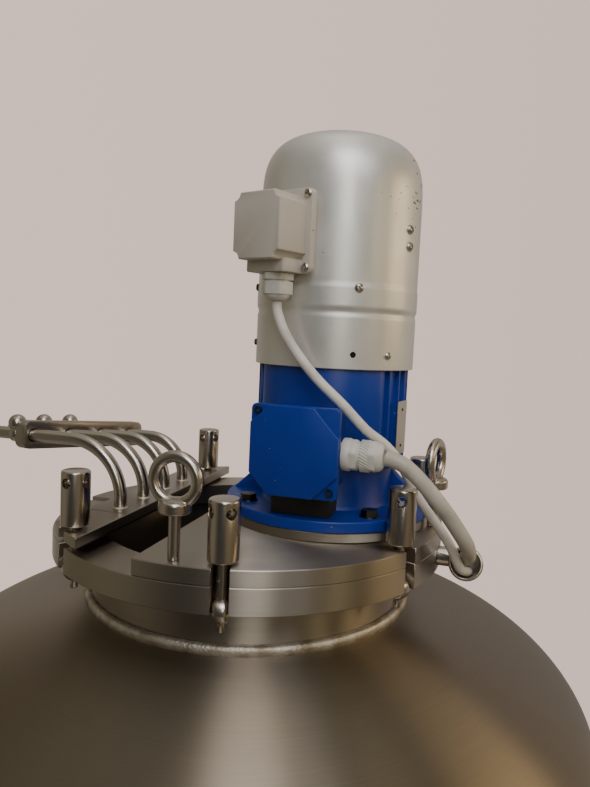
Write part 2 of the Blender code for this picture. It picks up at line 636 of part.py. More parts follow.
def cut_rectangle(width, low, high, cut):
    """A rectangle from low to high with its corners cut off."""
    half = width / 2
    return [(half - cut, low), (half, low + cut), (half, high - cut), (half - cut, high),
            (cut - half, high), (-half, high - cut), (-half, low + cut), (cut - half, low)]


def make_control_box():
    """Base plate, box, gland boss and saddle in one piece, which looks straight out of the cowl."""
    frame = new_empty("control_box_frame", (MOTOR_X, 0.0, LID_PLANE_Z), math.radians(CONTROL_DEG))
    outward = Matrix(((0.0, 0.0, 1.0), (1.0, 0.0, 0.0), (0.0, 1.0, 0.0))).to_euler()
    centre = (0.0, 0.0, 0.0)
    bite = 0.002                       # how far the joined bodies reach into each other
    plate = prism("control_box", cut_rectangle(CONTROL_PLATE_WIDTH, CONTROL_PLATE_LOW_Z, CONTROL_PLATE_HIGH_Z,
                                               CONTROL_PLATE_CUT),
                  CONTROL_PLATE_BACK_R, CONTROL_PLATE_R, BOX_GREY, frame, centre, outward)
    body = prism("control_box_body", cut_rectangle(CONTROL_WIDTH, CONTROL_LOW_Z, CONTROL_HIGH_Z, CONTROL_CUT),
                 CONTROL_PLATE_R - bite, CONTROL_FACE_R, None, frame, centre, outward)
    near, far = CONTROL_BOSS_R
    boss_high = CONTROL_LOW_Z + bite
    boss = block("control_box_boss", (far - near, CONTROL_BOSS_WIDTH, boss_high - CONTROL_BOSS_LOW_Z),
                 ((far + near) / 2, 0.0, (boss_high + CONTROL_BOSS_LOW_Z) / 2), parent=frame)
    saddle_in = COWL_R - 5 * bite
    saddle_out = CONTROL_PLATE_BACK_R + bite
    saddle = block("control_box_saddle", (saddle_out - saddle_in, CONTROL_SADDLE_WIDTH,
                                          CONTROL_HIGH_Z - CONTROL_LOW_Z),
                   ((saddle_out + saddle_in) / 2, 0.0, (CONTROL_HIGH_Z + CONTROL_LOW_Z) / 2), parent=frame)
    reach = COWL_R + GAP
    bore = turned("control_box_bore", [(0.0, COWL_DOME_Z), (reach, COWL_DOME_Z), (reach, COWL_FOOT_Z),
                                       (0.0, COWL_FOOT_Z)], 56, parent=MOTOR_AXIS)
    boolean(plate, body, "UNION")
    boolean(plate, boss, "UNION")
    boolean(plate, saddle, "UNION")
    boolean(plate, bore)
    return frame


def make_glands(control_frame):
    """The cable glands of both boxes, each with its lock ring and domed nut in one piece."""
    high = CONTROL_BOSS_LOW_Z - GAP
    low = GLAND_HIGH_END_Z
    ring = 0.0078
    dome = 0.0072
    r = GLAND_HIGH_R
    profile = [(0.0, high), (r, high), (r, high - ring), (0.9 * r, high - ring), (0.9 * r, low + dome),
               (0.65 * r, low), (0.0, low)]
    turned("fan_gland", profile, 12, GLAND_WHITE, control_frame, (GLAND_HIGH_REACH, GLAND_HIGH_SIDE, 0.0))
    start = TERMINAL_X + TERMINAL_WIDTH / 2 - TERMINAL_INSET + GAP
    length = GLAND_LOW_END_X - start
    shoulder = TERMINAL_INSET
    r = GLAND_LOW_R
    profile = [(0.0, length), (0.65 * r, length), (r, length - dome), (r, shoulder),
               (GLAND_LOW_NECK_R, shoulder), (GLAND_LOW_NECK_R, 0.0), (0.0, 0.0)]
    turned("motor_gland", profile, 12, GLAND_WHITE, LID_CENTRE, (start, GLAND_LOW_Y, GLAND_LOW_Z),
           (0.0, math.pi / 2, 0.0))


def smooth_route(route):
    """Points on a smooth curve through the route's own points."""
    points = [Vector(p) for p in route]
    padded = [points[0] * 2 - points[1]] + points + [points[-1] * 2 - points[-2]]
    out = []
    for a, b, c, d in zip(padded, padded[1:], padded[2:], padded[3:]):
        for k in range(ROUTE_STEPS):
            t = k / ROUTE_STEPS
            out.append(0.5 * ((2 * b) + (c - a) * t + (2 * a - 5 * b + 4 * c - d) * t * t
                              + (3 * b - 3 * c + d - a) * t * t * t))
    out.append(points[-1])
    return out


def make_cables():
    make_tube("fan_cable", smooth_route(FAN_CABLE_ROUTE), FAN_CABLE_R, CABLE_GREY, 2)
    make_tube("motor_cable", smooth_route(MOTOR_CABLE_ROUTE), MOTOR_CABLE_R, CABLE_GREY, 2)


def make_sleeve():
    """The cable sleeve: a cup with a rounded lip, on an arm from the flange's rim."""
    tilt = math.pi / 2 - SLEEVE_TILT
    lip = 0.0022
    mid_r = (SLEEVE_R + SLEEVE_BORE_R) / 2
    half = (SLEEVE_R - SLEEVE_BORE_R) / 2
    crown = [(x, y - lip) for x, y in arc((mid_r, 0.0), half, 180.0, 0.0, 6)]
    floor_z = -SLEEVE_LENGTH + SLEEVE_FLOOR
    profile = [(0.0, floor_z), (SLEEVE_BORE_R, floor_z)] + crown + [(SLEEVE_R, -SLEEVE_LENGTH),
                                                                (0.0, -SLEEVE_LENGTH)]
    sleeve = turned("cable_sleeve", profile, 24, POLISHED_STEEL, LID_CENTRE, SLEEVE_CENTRE, (tilt, 0.0, 0.0))
    mid = Vector(SLEEVE_CENTRE)
    flange_x = math.sqrt(FLANGE_R ** 2 - mid.y ** 2)
    root = Vector((flange_x - 0.0005, mid.y + 0.018, mid.z))
    arm_length = mid.x - (SLEEVE_R + SLEEVE_BORE_R) / 2 - root.x
    arm = turned("sleeve_arm", [(0.0, arm_length), (ARM_R, arm_length), (ARM_R, 0.0), (0.0, 0.0)], 16, None,
                 LID_CENTRE, root, (0.0, math.pi / 2, 0.0))
    boolean(sleeve, arm, "UNION")
    trim = turned("sleeve_trim", [(0.0, 0.05), (FLANGE_R + GAP, 0.05), (FLANGE_R + GAP, -0.05), (0.0, -0.05)],
                  84, None, LID_CENTRE)
    boolean(sleeve, trim)


def make_number_plate():
    turn = math.radians(PLATE_DEG)
    reach = PLATE_BACK_R + PLATE_SIZE[1] / 2
    place = (MOTOR_X + reach * math.cos(turn), reach * math.sin(turn), PLATE_MID_Z)
    block("number_plate", PLATE_SIZE, place, PLATE_STEEL, LID_CENTRE, (0.0, 0.0, turn + math.pi / 2))


def main():
    slots = slot_cutter("clamp_slots", BOLT_CIRCLE_R)
    flange_slots = slot_cutter("flange_slots", FLANGE_SLOT_R)
    make_vessel()
    make_outlet()
    make_legs()
    make_neck_and_flange(flange_slots)
    make_lid(slots)
    make_dosing_bar(slots)
    make_bolts()
    make_lifting_eyes()
    make_dosing_tubes()
    make_tube_clamp()
    make_motor()
    make_cowl()
    make_terminal_box()
    control_frame = make_control_box()
    make_glands(control_frame)
    make_sleeve()
    make_cables()
    make_number_plate()


clear_scene()
PARTS = new_collection("dissolver_tank")
CUTTERS = new_collection("cutters")
SATIN_STEEL = make_material("brushed_stainless", "#8c867b", 0.42, 1.0)
MACHINED_STEEL = make_material("machined_stainless", "#a09a90", 0.34, 1.0)
POLISHED_STEEL = make_material("polished_stainless", "#b0aaa2", 0.20, 1.0)
MOTOR_BLUE = make_material("blue_enamel", "#0f55ad", 0.38, 0.0)
COWL_GREY = make_material("grey_enamel", "#a3a4a0", 0.34, 0.1)
BOX_GREY = make_material("warm_grey_enamel", "#9c9890", 0.45, 0.0)
GLAND_WHITE = make_material("gland_polyamide", "#cfcdc6", 0.45, 0.0)
CABLE_GREY = make_material("cable_jacket", "#b5b0a5", 0.45, 0.0)
RUBBER = make_material("black_rubber", "#1c1a18", 0.70, 0.0)
PLATE_STEEL = make_material("plain_plate", "#b9b2a6", 0.40, 0.6)
TANK_AXIS = new_empty("tank_axis", (0.0, 0.0, 0.0))
LID_CENTRE = new_empty("lid_centre", (0.0, 0.0, LID_PLANE_Z))
MOTOR_AXIS = new_empty("motor_axis", (MOTOR_X, 0.0, LID_PLANE_Z))
main()
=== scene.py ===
"""Dissolver tank: a stainless vessel with a bolted lid that carries its mixer motor.

Metres, +Z up. The origin is on the floor, on the tank's axis. +X points from the dosing bar
towards the motor, and the terminal box looks along -Y.
"""

from math import asin, cos, pi, radians, sin, sqrt, tau

import bpy
from mathutils import Matrix, Vector


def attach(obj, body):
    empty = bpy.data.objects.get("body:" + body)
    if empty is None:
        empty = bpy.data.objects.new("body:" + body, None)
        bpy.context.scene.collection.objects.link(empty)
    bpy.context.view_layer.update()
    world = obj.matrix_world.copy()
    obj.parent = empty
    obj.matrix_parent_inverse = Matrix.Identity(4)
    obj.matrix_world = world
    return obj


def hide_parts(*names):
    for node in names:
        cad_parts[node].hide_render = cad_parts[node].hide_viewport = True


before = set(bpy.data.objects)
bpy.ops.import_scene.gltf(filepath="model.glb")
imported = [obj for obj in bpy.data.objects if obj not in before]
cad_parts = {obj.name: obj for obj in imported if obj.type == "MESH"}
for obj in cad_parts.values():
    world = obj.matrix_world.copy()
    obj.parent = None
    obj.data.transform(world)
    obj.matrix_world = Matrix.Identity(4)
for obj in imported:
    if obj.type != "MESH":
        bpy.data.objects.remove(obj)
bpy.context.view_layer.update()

bl_info = {
    "name": "Dissolver tank",
    "version": (1, 0, 0),
    "blender": (4, 5, 0),
    "location": "3D View > Sidebar > Dissolver tank",
    "description": "Builds a stainless dissolver tank with its bolted lid and mixer motor",
    "category": "Add Mesh",
}

LID_Z = 1.35                       # split plane between the lid and the flange under it
SLOT_STEP = 360 / 7                # six clamp bolts and one empty slot
LID_CUT_X = -0.0381                # straight side of the lid
EYE_PLACES = ((270.35, 0.23, 0), (0, 0.2332, -13), (90, 0.23, 0))   # direction, reach, twist
NUT_TURNS = (31, 36, 28, 40, 53, 31)   # first cross hole of each nut, from the radius
TUBE_TOP = 0.0986                  # level run of the first dosing tube, above the split plane
TUBE_STEP = 0.006                  # how much lower each next tube lies
CLAMP_X = -0.26
LEG_REACH = 0.5                    # from the tank's axis to the middle of a leg
LEG_R = 0.0302
LEG_TOP = 0.77
CONTROL_DEG = -112.9               # direction of the control box from the motor's axis
CONTROL_Z = 0.3568                 # middle of the control box, above the split plane
MOTOR_SPOT = Matrix.Translation((0.1, 0, LID_Z))
FRONT_HOLE = (-64.9, 0.2237)       # direction and height of the open hole in the cowl
SLEEVE_SPOT = Vector((0.2772, -0.037, LID_Z - 0.0122))
STAND_UP = Matrix(((0, 0, 1, 0), (1, 0, 0, 0), (0, 1, 0, 0), (0, 0, 0, 1)))   # drawn flat, then faced along X

# The cables' routes in mm, from the gland's end to the bottom of the sleeve, above the split plane
FAN_CABLE_ROUTE = (
    (57, -108.7, 277.9), (58.4, -109, 267.1), (68.7, -110.9, 244.1), (87, -112.8, 218.9),
    (110.3, -113.2, 194.1), (138.1, -110.7, 169.4), (162.7, -100.1, 143), (184.1, -89.1, 125.6),
    (201.7, -78.1, 102.9), (217.2, -71.1, 72.4), (239.9, -66.5, 41.7), (257.9, -62.9, 16.4),
    (268.5, -56.1, -6.6), (272.9, -47.6, -16.1), (279.2, -36.7, -21), (279.7, -15.8, -27.3))
MOTOR_CABLE_ROUTE = (
    (189.3, -119.9, 117.6), (200.1, -120.4, 115.5), (212.5, -119.8, 109.2), (231.4, -115.8, 91.3),
    (253.2, -106.7, 64.4), (270.5, -92.2, 37.2), (278.4, -76.8, 19.7), (279.9, -51.2, 1.9),
    (276.5, -37.1, -5.9), (276, -14.2, -13.1))


def srgb(hex_code):
    """Linear colour of an sRGB hex string."""
    channels = [int(hex_code[i:i + 2], 16) / 255 for i in (1, 3, 5)]
    linear = [c / 12.92 if c <= 0.04045 else ((c + 0.055) / 1.055) ** 2.4 for c in channels]
    return (*linear, 1)


def length_value(name, description, default):
    return bpy.props.FloatProperty(name=name, description=description, default=default, unit="LENGTH")


def colour_value(name, description, hex_code):
    return bpy.props.FloatVectorProperty(name=name, description=description, default=srgb(hex_code), size=4,
                                         min=0, max=1, subtype="COLOR")


def power_value(name, default):
    return bpy.props.FloatProperty(name=name, description="Power of the soft " + name.lower(),
                                   default=default, min=0, unit="POWER")


def glow_value(name, default):
    return bpy.props.FloatVectorProperty(name=name, description="Light from the " + name.lower(),
                                         default=default, size=3, min=0, subtype="COLOR")


class VesselSizes(bpy.types.PropertyGroup):
    """Sizes of the tank under the flange"""
    radius: length_value("Radius", "Outer radius of the shell", 0.44)
    wall: length_value("Wall", "Thickness of the sheet", 0.005)
    head_depth: length_value("Head depth", "From the tangent line to the apex of a head", 0.172)
    top_tangent: length_value("Top tangent line", "Height of the upper weld", 1.1108)
    low_tangent: length_value("Low tangent line", "Height of the lower weld", 0.4608)
    neck_radius: length_value("Neck radius", "Outer radius of the neck", 0.2)
    neck_wall: length_value("Neck wall", "Thickness of the neck", 0.006)


class ClosureSizes(bpy.types.PropertyGroup):
    """Sizes of the flange, the lid and what clamps it"""
    flange_radius: length_value("Flange radius", "Outer radius of flange and lid", 0.245)
    flange_bore: length_value("Flange bore", "Radius of the opening", 0.1897)
    flange_thickness: length_value("Flange thickness", "Thickness of the lower flange", 0.0285)
    lid_thickness: length_value("Lid thickness", "Thickness of the lid", 0.0176)
    edge: length_value("Broken edge", "Width of the broken edges", 0.0009)
    bolt_circle: length_value("Bolt circle", "Radius to the clamp bolts", 0.23)
    slot_width: length_value("Slot width", "Width of the bolt slots", 0.018)
    nut_radius: length_value("Nut radius", "Radius of a barrel nut", 0.0158)
    nut_height: length_value("Nut height", "Height of a barrel nut", 0.062)


class FeedSizes(bpy.types.PropertyGroup):
    """Sizes of the dosing bar and its tubes"""
    bar_near: length_value("Bar near side", "Side of the bar that faces the lid", -0.1195)
    bar_far: length_value("Bar far side", "Side of the bar at the rim", -0.177)
    tube_radius: length_value("Tube radius", "Outer radius of a dosing tube", 0.008)
    tube_pitch: length_value("Tube pitch", "Distance between dosing tubes", 0.0572)
    tube_bend: length_value("Tube bend", "Largest bend radius of a tube", 0.07)
    clamp_length: length_value("Clamp length", "Length of the tube clamp", 0.22)


class MotorSizes(bpy.types.PropertyGroup):
    """Sizes of the mixer motor"""
    pad_radius: length_value("Pad radius", "Radius of the steel pad on the lid", 0.124)
    flange_radius: length_value("Motor flange radius", "Radius of the cast flange", 0.1265)
    body_radius: length_value("Body radius", "Radius at the foot of the fins", 0.087)
    fin_height: length_value("Fin height", "Height of the cooling fins", 0.0055)
    cowl_radius: length_value("Cowl radius", "Radius of the fan cowl", 0.0977)
    cowl_top: length_value("Cowl top", "Height of the cowl over the split plane", 0.4813)
    cowl_dome: length_value("Cowl dome", "Height at which the cowl's dome starts", 0.393)


class Colours(bpy.types.PropertyGroup):
    """Colours of the finishes"""
    sheet_steel: colour_value("Sheet steel", "Brushed vessel sheet", "#978c7d")
    plate_steel: colour_value("Plate steel", "Turned flange and lid", "#b3aba0")
    bright_steel: colour_value("Bright steel", "Polished nuts, tubes and eyes", "#c2bab0")
    motor_blue: colour_value("Motor blue", "Enamel of the motor", "#043498")
    cowl_silver: colour_value("Cowl silver", "Silver paint of the fan cowl", "#e4e2dd")
    box_grey: colour_value("Box grey", "Enamel of the control box", "#c9c1b6")
    gland_white: colour_value("Gland grey", "Polyamide of the glands", "#dedbd2")
    thin_jacket: colour_value("Fan cable jacket", "Jacket of the fan cable", "#e9e3d9")
    thick_jacket: colour_value("Motor cable jacket", "Jacket of the motor cable", "#c6bfb3")
    floor: colour_value("Floor", "Tone of the studio floor", "#cfc8c0")


# Each lamp's azimuth, height over the level, distance and size
LAMPS = {"side": (12, 16, 2.6, (1.4, 0.8)), "corner": (-24, 14, 2.6, (0.5, 0.8)),
         "front": (-69, 16, 2.6, (0.7, 0.9)), "tall": (-71, 44, 2.4, (0.92, 1.2)),
         "inner": (-44, 38, 2.4, (0.5, 0.9)), "ceiling": (-71, 84, 2.1, (0.8, 1.6))}
# The parts of the room: the axis of the direction, and where the part fades in
ROOM = {"wall": ("Y", 0.2, 0.85), "left": ("X", -0.25, -0.9), "right": ("X", 0.25, 0.9),
        "above": ("Z", 0.55, 0.95), "near": ("Y", 0.1, -0.6)}


class StudioValues(bpy.types.PropertyGroup):
    """Strength and colour of the studio lights"""
    side_power: power_value("Side lamp", 9.5)
    side_colour: glow_value("Side lamp's colour", (1, 0.77, 0.45))
    corner_power: power_value("Corner lamp", 1.8)
    corner_colour: glow_value("Corner lamp's colour", (1, 0.86, 0.5))
    front_power: power_value("Front lamp", 7.2)
    front_colour: glow_value("Front lamp's colour", (1, 0.99, 0.88))
    tall_power: power_value("Tall lamp", 16.5)
    tall_colour: glow_value("Tall lamp's colour", (0.95, 0.95, 1))
    inner_power: power_value("Inner lamp", 4)
    inner_colour: glow_value("Inner lamp's colour", (0.86, 0.9, 1))
    ceiling_power: power_value("Ceiling lamp", 4.2)
    ceiling_colour: glow_value("Ceiling lamp's colour", (1, 0.9, 0.84))
    wall_glow: glow_value("Wall behind", (0.36, 0.33, 0.31))
    left_glow: glow_value("Left side", (0.19, 0.165, 0.115))
    right_glow: glow_value("Right side", (0.17, 0.13, 0.075))
    above_glow: glow_value("Ceiling", (0.39, 0.385, 0.33))
    near_glow: glow_value("Near side", (0.055, 0.052, 0.046))
    wall_seen: glow_value("Wall in the picture", (0.99, 0.76, 0.67))


# Tools that work as a maker would by hand

def deselect():
    if bpy.context.object and bpy.context.object.mode != "OBJECT":
        bpy.ops.object.mode_set(mode="OBJECT")
    bpy.ops.object.select_all(action="DESELECT")


def activate(piece):
    deselect()
    piece.select_set(True)
    bpy.context.view_layer.objects.active = piece


def draw_outline(name, points):
    """Start from a single vertex and extrude it from point to point, in edit mode."""
    deselect()
    bpy.ops.mesh.primitive_plane_add(size=0.001)
    piece = bpy.context.active_object
    piece.name = piece.data.name = name
    bpy.ops.object.mode_set(mode="EDIT")
    bpy.ops.mesh.select_mode(type="VERT")
    bpy.ops.mesh.select_all(action="SELECT")
    bpy.ops.mesh.merge(type="CENTER")
    bpy.ops.transform.translate(value=points[0])
    for a, b in zip(points, points[1:]):
        bpy.ops.mesh.extrude_vertices_move(TRANSFORM_OT_translate={"value": Vector(b) - Vector(a)})
    bpy.ops.mesh.select_all(action="SELECT")
    return piece


def close_mesh():
    bpy.ops.mesh.select_all(action="SELECT")
    bpy.ops.mesh.remove_doubles(threshold=0.00002)
    bpy.ops.mesh.normals_make_consistent(inside=False)
    bpy.ops.object.mode_set(mode="OBJECT")


def lathe(name, profile, steps, closed=False):
    """Draw an (r, z) profile and spin it round Z. A closed profile makes a ring."""
    points = [(r, 0, z) for r, z in profile]
    piece = draw_outline(name, points + points[:1] if closed else points)
    bpy.ops.mesh.spin(steps=steps, angle=tau, center=(0, 0, 0), axis=(0, 0, 1))
    close_mesh()
    return piece


def plate(name, outline, low, high):
    """Draw a flat outline, fill it and extrude it from low to high."""
    points = [(x, y, low) for x, y in outline]
    piece = draw_outline(name, points + points[:1])
    bpy.ops.mesh.remove_doubles(threshold=0.00002)
    bpy.ops.mesh.edge_face_add()
    bpy.ops.mesh.extrude_region_move(TRANSFORM_OT_translate={"value": (0, 0, high - low)})
    close_mesh()
    return piece


def apply_modifier(piece, kind, name, **settings):
    activate(piece)
    step = piece.modifiers.new(name, kind)
    for key, value in settings.items():
        setattr(step, key, value)
    bpy.ops.object.modifier_apply(modifier=step.name)
    return piece


def round_edges(piece, width, segments=2, angle=50):
    return apply_modifier(piece, "BEVEL", "round", width=width, segments=segments, limit_method="ANGLE",
                          angle_limit=radians(angle), use_clamp_overlap=False)


def combine(piece, other, operation):
    apply_modifier(piece, "BOOLEAN", operation.lower(), operation=operation, object=other, solver="EXACT")
    throw_away(other)
    return piece


def cut(piece, other):
    return combine(piece, other, "DIFFERENCE")


def throw_away(*spares):
    for spare in spares:
        bpy.data.objects.remove(spare, do_unlink=True)


def place(piece, matrix):
    """Carry a piece to its place and put the place into its mesh."""
    activate(piece)
    piece.matrix_world = matrix
    bpy.ops.object.transform_apply(location=True, rotation=True, scale=True)
    return piece


def shift(x=0, y=0, z=0):
    return Matrix.Translation((x, y, z))


def turn(degrees, axis="Z"):
    return Matrix.Rotation(radians(degrees), 4, axis)


def join(pieces):
    deselect()
    for piece in pieces:
        piece.select_set(True)
    bpy.context.view_layer.objects.active = pieces[0]
    bpy.ops.object.join()
    return pieces[0]


def pick_faces(piece, test):
    """Go into edit mode with the faces selected whose centre and normal pass the test."""
    activate(piece)
    mesh = piece.data
    for group in (mesh.vertices, mesh.edges, mesh.polygons):
        for item in group:
            item.select = False
    for face in mesh.polygons:
        face.select = test(face.center, face.normal)
    bpy.ops.object.mode_set(mode="EDIT")
    bpy.ops.mesh.select_mode(type="FACE")


def mm(*points):
    """Points given in millimetres."""
    return [tuple(value / 1000 for value in point) for point in points]


def polar(radius, degrees):
    return radius * cos(radians(degrees)), radius * sin(radians(degrees))


def arc(centre, radius, start, end, steps):
    """Points on an arc in degrees, ends included."""
    rays = [polar(radius, start + (end - start) * i / steps) for i in range(steps + 1)]
    return [(centre[0] + x, centre[1] + y) for x, y in rays]


def circle(radius, steps):
    return arc((0, 0), radius, 0, 360, steps)[:-1]


def rectangle(left, right, half_length=0.3):
    return [(left, -half_length), (right, -half_length), (right, half_length), (left, half_length)]


def round_rectangle(width, height, radius, steps=5):
    w, h = width / 2 - radius, height / 2 - radius
    return (arc((w, h), radius, 0, 90, steps) + arc((-w, h), radius, 90, 180, steps)
            + arc((-w, -h), radius, 180, 270, steps) + arc((w, -h), radius, 270, 360, steps))


def cylinder(radius, low, high):
    """Half section of a plain cylinder."""
    return [(0, high), (radius, high), (radius, low), (0, low)]


def turned_disc(radius, low, high, edge):
    """Half section of a disc with both rims broken."""
    return [(0, high), (radius - edge, high), (radius, high - edge), (radius, low + edge),
            (radius - edge, low), (0, low)]


def barrel(radius, low, high, soft, steps):
    """Outer part of a half section whose rims are rounded, from the top down."""
    return (arc((radius - soft, high - soft), soft, 90, 0, steps)
            + arc((radius - soft, low + soft), soft, 0, -90, steps))


def finish(piece, finish_maker, *nodes, slot=None, angle=32):
    """Smooth a piece, give it its finish, and hang it on the tank's body.

    nodes are the names of the solids that the piece stands for.
    """
    activate(piece)
    bpy.ops.object.shade_smooth_by_angle(angle=radians(angle))
    piece.data.materials.clear()
    piece.data.materials.append(finish_maker())
    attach(piece, "root")
    if nodes:
        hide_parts(*nodes)
    return piece


def finish_weld(bead, metal=None, slot=None):
    return finish(bead, metal or weld_metal, slot=slot, angle=60)


def copy_to(model, name, matrix):
    """A copy of a model with its own mesh, at its place."""
    activate(model)
    bpy.ops.object.duplicate(linked=False)
    made = bpy.context.active_object
    made.name = made.data.name = name
    return place(made, matrix)


# Finishes

def look():
    return bpy.context.scene.tank_colours


def add_node(material, kind, inputs=None, **settings):
    """Add a shader node, set its properties, set or link its inputs, and hand out its outputs.

    stops are the places and colours of a colour ramp.
    """
    made = material.node_tree.nodes.new("ShaderNode" + kind)
    for name, value in settings.items():
        if name == "stops":
            elements = made.color_ramp.elements
            while len(elements) < len(value):
                elements.new(0.5)
            for element, (position, colour) in zip(elements, value):
                element.position, element.color = position, colour
        else:
            setattr(made, name, value)
    for name, value in (inputs or {}).items():
        if isinstance(value, bpy.types.NodeSocket):
            material.node_tree.links.new(value, made.inputs[name])
        else:
            made.inputs[name].default_value = value
    return made.outputs


def start_finish(name, **sockets):
    """A new material with its shader's own values set, and the place on the piece."""
    material = bpy.data.materials.new(name)
    material.use_nodes = True
    shader = material.node_tree.nodes["Principled BSDF"]
    for key, value in sockets.items():
        shader.inputs[key.replace("_", " ").title().replace("Ior", "IOR")].default_value = value
    return material, shader, add_node(material, "TexCoord")["Object"]


def link(material, shader, outputs):
    for socket, output in outputs.items():
        material.node_tree.links.new(output, shader.inputs[socket])


def grey(value):
    return (value, value, value, 1)


def tint(colour, factor):
    return (*(min(1, c * factor) for c in colour[:3]), 1)


def worked_steel(name, colour, roughness, lines, pitch, depth, cloud, contrast, drawn=0.5):
    """Stainless steel with working marks, which draw its highlights out across the marks.

    lines is "round" for marks that run round the tank's axis, "level" for marks that run round an
    upright part, and "along" for marks that run along Y. pitch is their spacing in metres, drawn
    coarser than the 0.1 to 0.3 mm of the real grit, because finer ones vanish in the render. cloud is
    the size in metres of the soft patches, and drawn says how far the highlights are drawn out.
    """
    material, shader, spot = start_finish(name, metallic=1, roughness=roughness, anisotropic=drawn)
    x, y, z = add_node(material, "SeparateXYZ", {"Vector": spot})
    if lines == "round":
        level = add_node(material, "VectorMath", {0: spot, 1: (1, 1, 0)}, operation="MULTIPLY")["Vector"]
        outward = add_node(material, "VectorMath", {0: level}, operation="NORMALIZE")["Vector"]
        drawn_along = add_node(material, "VectorMath", {0: outward, 1: (0, 0, -0.6)},
                               operation="ADD")["Vector"]
        reach = add_node(material, "VectorMath", {0: level}, operation="LENGTH")["Value"]
        across = add_node(material, "Math", {0: reach, 1: z}, operation="SUBTRACT")["Value"]
        grain_axes = {"X": across, "Y": x, "Z": y}
    elif lines == "level":
        drawn_along = add_node(material, "CombineXYZ", {"X": 0.05, "Y": 0.02, "Z": 1})["Vector"]
        grain_axes = {"X": z, "Y": x, "Z": y}
    else:
        drawn_along = add_node(material, "CombineXYZ", {"X": 1, "Y": 0.02, "Z": -0.4})["Vector"]
        across = add_node(material, "Math", {0: x, 1: z}, operation="SUBTRACT")["Value"]
        grain_axes = {"X": across, "Y": y, "Z": y}
    grain = add_node(material, "CombineXYZ", grain_axes)["Vector"]
    streak = add_node(material, "Mapping", {"Vector": grain, "Scale": (1 / pitch, 9, 9)})["Vector"]
    hair = add_node(material, "TexNoise", {"Vector": streak, "Scale": 1, "Detail": 3,
                                           "Roughness": 0.65})["Fac"]
    clouds = add_node(material, "TexNoise", {"Vector": spot, "Scale": 1 / cloud, "Detail": 4,
                                             "Roughness": 0.55})["Fac"]
    shade = add_node(material, "Mix", {"Factor": hair, 6: tint(colour, 1 - contrast),
                                       7: tint(colour, 1 + contrast)}, data_type="RGBA")[2]
    worn = add_node(material, "Mix", {"Factor": clouds, 6: grey(1 - contrast * 0.8), 7: grey(1)},
                    data_type="RGBA")[2]
    tone = add_node(material, "Mix", {"Factor": 1, 6: shade, 7: worn}, data_type="RGBA",
                    blend_type="MULTIPLY")[2]
    dull = add_node(material, "Math", {0: hair, 1: clouds}, operation="ADD")["Value"]
    rough = add_node(material, "MapRange", {"Value": dull, "From Min": 0.6, "From Max": 1.4,
                                            "To Min": roughness * 0.92, "To Max": roughness * 1.1})["Result"]
    bump = add_node(material, "Bump", {"Strength": 0.3, "Distance": depth, "Height": hair})["Normal"]
    link(material, shader, {"Tangent": drawn_along, "Base Color": tone, "Roughness": rough, "Normal": bump})
    return material


def bead_metal(name, tones, roughness):
    """Weld metal: small ripples, and a tone that wanders between the three given ones."""
    material, shader, spot = start_finish(name, metallic=1, roughness=roughness)
    ripple = add_node(material, "TexVoronoi", {"Vector": spot, "Scale": 420}, feature="SMOOTH_F1")["Distance"]
    patch = add_node(material, "TexNoise", {"Vector": spot, "Scale": 45, "Detail": 3})["Fac"]
    heat = add_node(material, "ValToRGB", {"Fac": patch},
                    stops=[(at, srgb(tone)) for at, tone in zip((0.32, 0.5, 0.68), tones)])["Color"]
    bump = add_node(material, "Bump", {"Strength": 0.55, "Distance": 0.0008, "Height": ripple})["Normal"]
    link(material, shader, {"Base Color": heat, "Normal": bump})
    return material


def enamel(name, colour, roughness, peel, depth, wear, worn_at, metallic=0, fleck=0, coat=0.25):
    """Sprayed paint: orange peel, soft dirt in the tone, and small chips down to the wear colour.

    worn_at is (x, y, z, radius) of the place where most chips are.
    """
    material, shader, spot = start_finish(name, metallic=metallic, roughness=roughness, coat_weight=coat,
                                          coat_roughness=0.22)
    dirt = add_node(material, "TexNoise", {"Vector": spot, "Scale": 16, "Detail": 6, "Roughness": 0.6})["Fac"]
    tone = add_node(material, "Mix", {"Factor": dirt, 6: tint(colour, 0.9), 7: tint(colour, 1.08)},
                    data_type="RGBA")[2]
    grain = add_node(material, "TexNoise", {"Vector": spot, "Scale": 1 / peel})["Fac"]
    speck = add_node(material, "Mix", {"Factor": grain, 6: grey(1 - fleck), 7: grey(1)}, data_type="RGBA")[2]
    spotted = add_node(material, "Mix", {"Factor": 1, 6: tone, 7: speck}, data_type="RGBA",
                       blend_type="MULTIPLY")[2]
    # Chips about 1 by 4 mm, lying level, nearly all of them round the worn place
    flat = add_node(material, "Mapping", {"Vector": spot, "Scale": (110, 110, 330)})["Vector"]
    cell = add_node(material, "TexNoise", {"Vector": flat, "Scale": 1, "Detail": 1})["Fac"]
    away = add_node(material, "VectorMath", {0: spot, 1: worn_at[:3]}, operation="DISTANCE")["Value"]
    near = add_node(material, "MapRange", {"Value": away, "From Min": worn_at[3] * 0.4,
                                           "From Max": worn_at[3], "To Min": 0.12, "To Max": 0})["Result"]
    both = add_node(material, "Math", {0: cell, 1: near}, operation="ADD")["Value"]
    chip = add_node(material, "MapRange", {"Value": both, "From Min": 0.8, "From Max": 0.815})["Result"]
    worn = add_node(material, "Mix", {"Factor": chip, 6: spotted, 7: wear}, data_type="RGBA")[2]
    rough = add_node(material, "MapRange", {"Value": dirt, "From Min": 0.3, "From Max": 0.7,
                                            "To Min": roughness * 0.82, "To Max": roughness * 1.25})["Result"]
    bump = add_node(material, "Bump", {"Strength": 0.6, "Distance": depth, "Height": grain})["Normal"]
    link(material, shader, {"Base Color": worn, "Roughness": rough, "Normal": bump})
    return material


